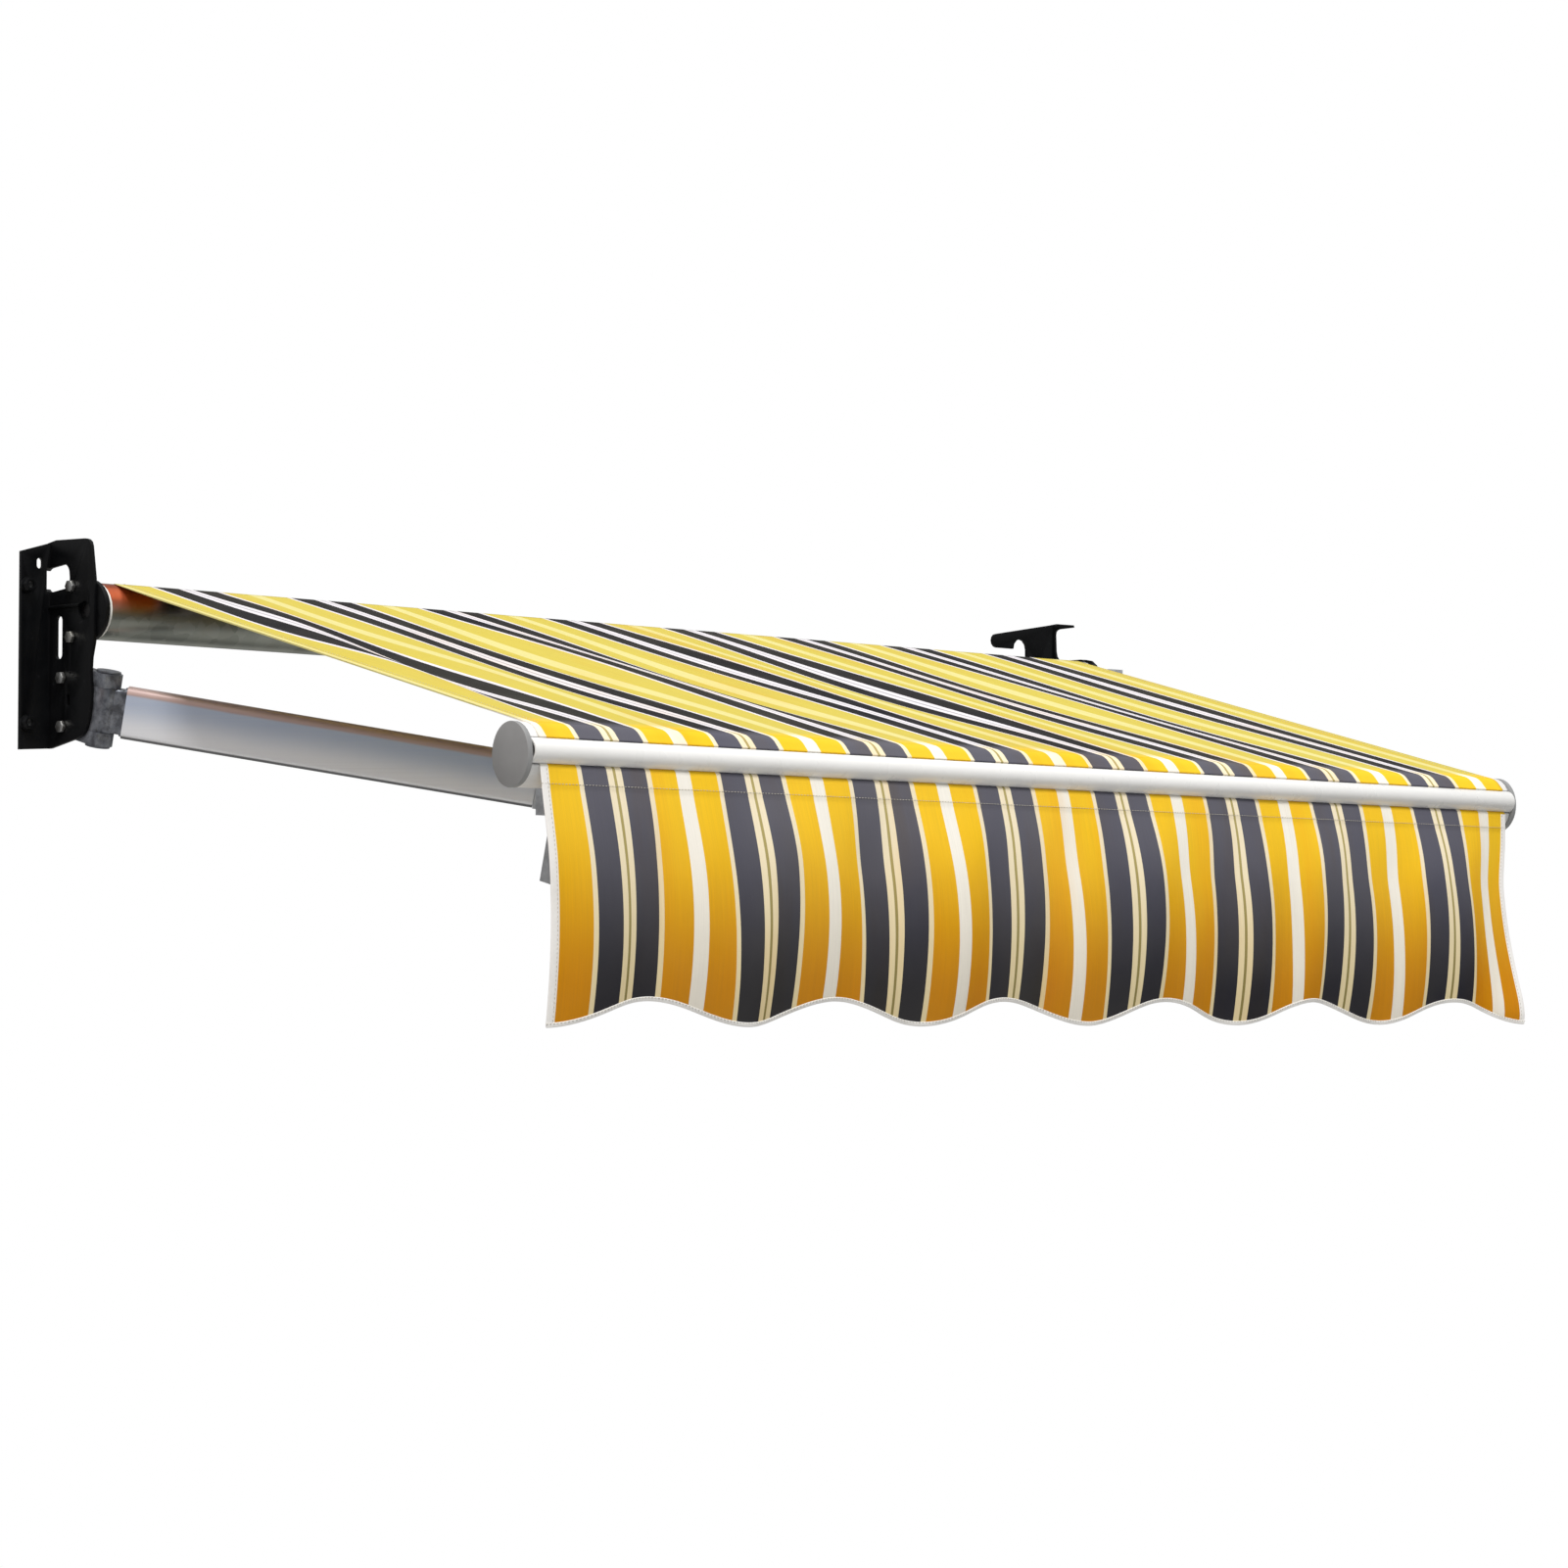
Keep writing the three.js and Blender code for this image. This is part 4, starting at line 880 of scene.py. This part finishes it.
canopy = makeCanopy()
hems, canopySeams = canopyHems()
for piece in (canopy, hems, canopySeams):
    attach(piece, "frame")
    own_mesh(piece)
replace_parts(canopy, "canopy_panel")
print("canopy made")

wrapSettings = {
    "mouth": (-0.9645, -0.207), "groove": (-0.9575, -0.2135), "lastLean": 52.0, "steps": 26,
    "cells": (240, 34),
}


def polylineAt(points, distance):  # the point this far along a path
    for a, b in zip(points, points[1:]):
        part = math.dist(a, b)
        if distance <= part or b is points[-1]:
            share = min(1.0, distance / part) if part else 0.0
            return tuple(p + (q - p) * share for p, q in zip(a, b))
        distance -= part
    return points[-1]


def wrapPath():  # over the crest of the bar, down its face and into the groove
    lastLean = math.radians(wrapSettings["lastLean"])
    steps = wrapSettings["steps"]
    points = [onCrest(slope + (lastLean - slope) * k / steps) for k in range(steps + 1)]
    return points + [wrapSettings["mouth"], wrapSettings["groove"]]


def makeWrap():
    path = wrapPath()
    long = sum(math.dist(a, b) for a, b in zip(path, path[1:]))

    def place(i, j):
        u = i * clothSettings["width"]
        y, z = polylineAt(path, j * long)
        return (u + clothSettings["left"], y, z), (u, canopyLength + j * long)

    mesh = sheetMesh("canopyFrontWrap", place, *wrapSettings["cells"])
    return thicken(link("canopyFrontWrap", mesh, canopyCanvas)), long


wrap, wrapLength = makeWrap()
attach(wrap, "front_bar")
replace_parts(wrap, "canopy_front_edge")

valanceSettings = {
    "top": (-0.9670, -0.2435), "groove": (-0.9605, -0.2368), "drop": 0.323,
    "scallops": 6, "scallop": 0.033, "topHem": 0.026, "hemStep": 0.0004,
    "cells": (480, 62), "leadRows": 3, "hemRows": (0.0, 0.006, 0.012, 0.018),
    "rowPoints": 640, "levels": 49, "slackLeft": 0.1,
    "bulge": 0.0365, "bulgeOver": 0.20, "tuck": 0.42, "tuckOver": 0.12,  # bows out, then tucks in
    "bulgeLeft": (0.5, 0.05), "foldsLeft": (0.8, 0.12),  # weaker by, over this width at the left end
    "foldsOver": 0.12,
    "folds": [  # depth, folds per metre, start, drift down the cloth
        (0.0060, 2.75, 0.9, 1.2), (0.0036, 4.4, 2.4, -2.6), (0.0014, 7.9, 0.3, 3.5)],
    "driftOver": 0.3,
    "dent": {"depth": 0.010, "at": (1.43, 0.2), "wide": (0.045, 0.12)},
    "kick": {"out": 0.046, "wide": 0.09, "over": 0.31, "relax": 0.1, "at": 0.32, "tall": 0.02},
}


def dropAt(u):  # length of the valance below the bar
    wave = (1 - math.cos(2 * math.pi * valanceSettings["scallops"] * u / clothSettings["width"])) / 2
    return valanceSettings["drop"] - valanceSettings["scallop"] * wave


def reached(distance, over):  # 0 at the start, 1 from over onwards
    return min(1.0, max(0.0, distance) / over)


def forward(u, s):  # how far the valance stands out in front of its upper edge
    settings = valanceSettings
    dent, kick = settings["dent"], settings["kick"]
    weaker, edge = settings["bulgeLeft"]
    tuck = reached(s - settings["bulgeOver"], settings["tuckOver"])
    swell = math.sin(math.pi / 2 * reached(s, settings["bulgeOver"])) - settings["tuck"] * tuck ** 2
    out = settings["bulge"] * swell * (1 - weaker * fading(u / edge))
    weaker, edge = settings["foldsLeft"]
    grow = reached(s, settings["foldsOver"])
    grow = grow * grow * (3 - 2 * grow) * (1 - weaker * fading(u / edge))
    for depth, folds, start, drift in settings["folds"]:
        out += grow * depth * math.sin(2 * math.pi * folds * u + start + drift * s / settings["driftOver"])
    out -= (dent["depth"] * fading((u - dent["at"][0]) / dent["wide"][0])
            * fading((s - dent["at"][1]) / dent["wide"][1]))
    kicked = (kick["out"] * reached(s, kick["over"]) ** 2
              * (1 - kick["relax"] * fading((s - kick["at"]) / kick["tall"])))
    out += fading((clothSettings["width"] - u) / kick["wide"]) * (kicked - out)  # the right end flies out
    return out + settings["hemStep"] if s < settings["topHem"] else out


def valanceRow(s, count):  # points of one level row, kept to the cloth's own width
    width = clothSettings["width"]
    xs = [0.0]
    step = width / count
    for i in range(count):
        rise = forward((i + 1) * step, s) - forward(i * step, s)
        xs.append(xs[-1] + math.sqrt(max(step * step - rise * rise, 1e-9)))
    slack = (width - xs[-1]) * valanceSettings["slackLeft"]
    return [x + slack for x in xs]


lastLevel = valanceSettings["levels"] - 1
valanceRows = [valanceRow(valanceSettings["drop"] * level / lastLevel, valanceSettings["rowPoints"])
               for level in range(valanceSettings["levels"])]


def valancePlace(u, s, lift=0.0):
    width = clothSettings["width"]
    level = min(1.0, max(0.0, s / valanceSettings["drop"])) * (len(valanceRows) - 1)
    spot = min(1.0, max(0.0, u / width)) * (len(valanceRows[0]) - 1)
    row, point = min(int(level), len(valanceRows) - 2), min(int(spot), len(valanceRows[0]) - 2)
    a, b = level - row, spot - point
    upper = valanceRows[row][point] * (1 - b) + valanceRows[row][point + 1] * b
    lower = valanceRows[row + 1][point] * (1 - b) + valanceRows[row + 1][point + 1] * b
    y, z = valanceSettings["top"]
    out = forward(u, s) + lift
    return upper * (1 - a) + lower * a + clothSettings["left"], y - out, z - s


def makeValance():
    width, thickness = clothSettings["width"], clothSettings["thickness"]
    groove, top, hem = valanceSettings["groove"], valanceSettings["top"], valanceSettings["topHem"]
    lead = math.dist(groove, top)
    columns, rows = valanceSettings["cells"]
    leadRows = valanceSettings["leadRows"]
    fixed = [*valanceSettings["hemRows"], hem - 0.0006, hem + 0.0006]  # a sharp step at the hem's seam

    def place(i, j):
        u = i * width
        row = round(j * rows)
        if row < leadRows:
            share = row / leadRows
            y, z = (p + (q - p) * share for p, q in zip(groove, top))
            return (u + clothSettings["left"], y - thickness * share, z), (u, share * lead)
        index = row - leadRows
        if index < len(fixed):
            s = fixed[index]
        else:
            share = (index - len(fixed) + 1) / (rows - leadRows - len(fixed) + 1)
            s = fixed[-1] + (dropAt(u) - fixed[-1]) * share
        return valancePlace(u, s), (u, lead + s)

    piece = thicken(link("valanceCloth", sheetMesh("valanceCloth", place, columns, rows), valanceCanvas))
    slices = 400
    area = 0.0
    for k in range(slices):
        area += (dropAt((k + 0.5) / slices * width) + lead) * width / slices
    return piece, lead + valanceSettings["drop"], area


bindingSettings = {
    "width": 0.0052, "half": 0.0011, "sideWidth": 0.011, "sideHalf": 0.92, "inset": 0.01,
    "hemPoints": 360, "sidePoints": 72, "aside": 0.004, "lean": 0.9, "start": 0.001,
    "lip": (0.001, 0.0006, 0.0009),  # where its sides turn, its corners and its outermost line
}


def bindingSection(edge, inside, width, half):  # U-shaped tape folded over an edge
    inward = (Vector(inside) - Vector(edge)).normalized()
    normal = Vector((0.0, -1.0, 0.0))
    normal = (normal - inward * normal.dot(inward)).normalized()
    turn, corner, outermost = bindingSettings["lip"]
    front = [(width, half * 0.55), (width * 0.85, half), (turn, half), (-corner, half * 0.6)]
    back = [(along, -across) for along, across in reversed(front)]
    return [tuple(Vector(edge) + inward * along + normal * across)
            for along, across in [*front, (-outermost, 0.0), *back]]


def makeBinding():
    settings = bindingSettings
    width, inset, aside = clothSettings["width"], settings["inset"], settings["aside"]
    up = Vector((0.0, 0.0, 1.0))

    def hemPoint(u, raised=0.0):
        return Vector(valancePlace(u, dropAt(u) - raised))

    hemRails = []
    for k in range(settings["hemPoints"] + 1):
        u = width * k / settings["hemPoints"]
        edge = hemPoint(u)
        tangent = (hemPoint(min(width, u + aside)) - hemPoint(max(0.0, u - aside))).normalized()
        inward = (up - tangent * up.dot(tangent)).normalized() * inset
        inward.y = (hemPoint(u, inset) - edge).y * settings["lean"]
        hemRails.append(bindingSection(edge, edge + inward, settings["width"], settings["half"]))
    strips = [ribbon("hemTape", hemRails, binding)]
    for u, inner in ((0.0, inset), (width, width - inset)):
        rails = []
        for k in range(settings["sidePoints"] + 1):
            s = settings["start"] + (dropAt(u) - settings["start"]) * k / settings["sidePoints"]
            rails.append(bindingSection(valancePlace(u, s), valancePlace(inner, s),
                                        settings["sideWidth"], settings["half"] * settings["sideHalf"]))
        strips.append(ribbon("sideTape", rails, binding))
    return joined("valanceBinding", strips, binding)


seamSettings = {
    "lift": 0.0009, "hemLift": 0.0015, "sideLift": 0.0014, "belowHem": 0.004, "share": 0.75,
    "sideShare": 0.8, "from": 0.004, "short": 0.012, "points": 400, "sidePoints": 80, "seed": 9,
}


def valanceSeams():  # along the top hem, the bound lower edge and both bound sides
    settings = seamSettings
    width = clothSettings["width"]
    topSeam = valanceSettings["topHem"] - settings["belowHem"]
    hemSeam = bindingSettings["width"] * settings["share"]
    sideSeam = bindingSettings["sideWidth"] * settings["sideShare"]
    across = [width * k / settings["points"] for k in range(settings["points"] + 1)]
    rows = [[valancePlace(u, topSeam, settings["lift"]) for u in across],
            [valancePlace(u, dropAt(u) - hemSeam, settings["hemLift"]) for u in across]]
    for u in (sideSeam, width - sideSeam):
        rows.append([valancePlace(u, settings["from"] + (dropAt(u) - settings["short"]) * k
                                  / settings["sidePoints"], settings["sideLift"])
                     for k in range(settings["sidePoints"] + 1)])
    return stitches("valanceStitching", rows, settings["seed"])


valance, valanceLength, valanceArea = makeValance()
tapes = makeBinding()
valanceThread = valanceSeams()
for piece in (valance, tapes, valanceThread):
    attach(piece, "front_bar")
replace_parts(valance, "valance")
print("front wrap and valance made")

copySettings = {"weld": 0.00002, "flat": 0.8, "sharp": 38, "smooth": 40, "segments": 2}  # angles in degrees


def roundedCopy(name, node, material, radius):  # a CAD part with its edges broken
    source = nodes[node]
    shape = bmesh.new()
    shape.from_mesh(source.data)
    bmesh.ops.remove_doubles(shape, verts=shape.verts, dist=copySettings["weld"])
    bmesh.ops.dissolve_limit(shape, angle_limit=math.radians(copySettings["flat"]), verts=shape.verts,
                             edges=shape.edges, delimit=set())
    mesh = bpy.data.meshes.new(name)
    shape.to_mesh(mesh)
    shape.free()
    piece = link(name, mesh, material)
    bevel = piece.modifiers.new("brokenEdges", "BEVEL")
    bevel.width = radius
    bevel.segments = copySettings["segments"]
    bevel.limit_method = "ANGLE"
    bevel.angle_limit = math.radians(copySettings["sharp"])
    bevel.use_clamp_overlap = True
    bevel.miter_outer = "MITER_SHARP"
    applied(piece)
    smoothed(piece.data, copySettings["smooth"])
    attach(piece, source["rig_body"])
    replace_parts(piece, node)


roundingSettings = [  # piece, CAD part, edge radius
    ("frontBarProfile", "front_bar_profile", 0.0004),
    ("rollerTube", "roller_tube", 0.0003),
    ("rollerLeftPlug", "roller_left_plug", 0.0008),
    ("rollerRightPlug", "roller_right_plug", 0.0008),
    ("gearboxHousing", "gearbox_housing", 0.0012),
    ("gearboxCover", "gearbox_cover", 0.0012),
    ("wormShaft", "worm_shaft", 0.0005),
    ("crankEye", "crank_eye", 0.0006),
]
sideRoundingSettings = [
    ("WallBracket", "wall_bracket", 0.0009), ("BearingPlate", "bearing_plate", 0.0012),
    ("WallNutUpper", "wall_nut_upper", 0.0007), ("WallNutLower", "wall_nut_lower", 0.0007),
    ("BearingBoltFirst", "bearing_bolt_1", 0.0006), ("BearingBoltSecond", "bearing_bolt_2", 0.0006),
    ("ShoulderBoltFirst", "shoulder_bolt_1", 0.0006), ("ShoulderBoltSecond", "shoulder_bolt_2", 0.0006),
    ("BarEndCap", "bar_end_cap", 0.0012), ("FrontBracket", "front_bracket", 0.0015),
    ("ClampBolt", "clamp_bolt", 0.0006), ("ShoulderBracket", "shoulder_bracket", 0.0015),
    ("ShoulderPin", "shoulder_pin", 0.0008), ("ShoulderKnuckle", "shoulder_knuckle", 0.0015),
    ("UpperArmTube", "upper_arm_tube", 0.0012), ("ElbowFork", "elbow_fork", 0.0015),
    ("ElbowPin", "elbow_pin", 0.0008), ("FrontKnuckle", "front_knuckle", 0.0015),
    ("ForearmTube", "forearm_tube", 0.0012), ("ElbowTongue", "elbow_tongue", 0.0015),
    ("FrontPin", "front_pin", 0.0008),
]


def finishOf(node):
    slotName = nodes[node].data.materials[0].name
    if node.endswith("_plug"):
        return nylon
    if "_shoulder_" in node and slotName == "cast_grey":
        return darkCasting
    return armFinishes.get(node) or finishes[slotName]


for pieceName, node, radius in roundingSettings:
    roundedCopy(pieceName, node, finishOf(node), radius)
for side in ("left", "right"):
    for suffix, part, radius in sideRoundingSettings:
        node = f"{side}_{part}"
        roundedCopy(side + suffix, node, finishOf(node), radius)

replaced = set()
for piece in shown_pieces():
    replaced.update(piece.get("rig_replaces", []))
for node, part in nodes.items():
    if node not in replaced:
        part.material_slots[0].material = finishOf(node)
print("metal parts made;", len(nodes) - len(replaced), "CAD parts kept")
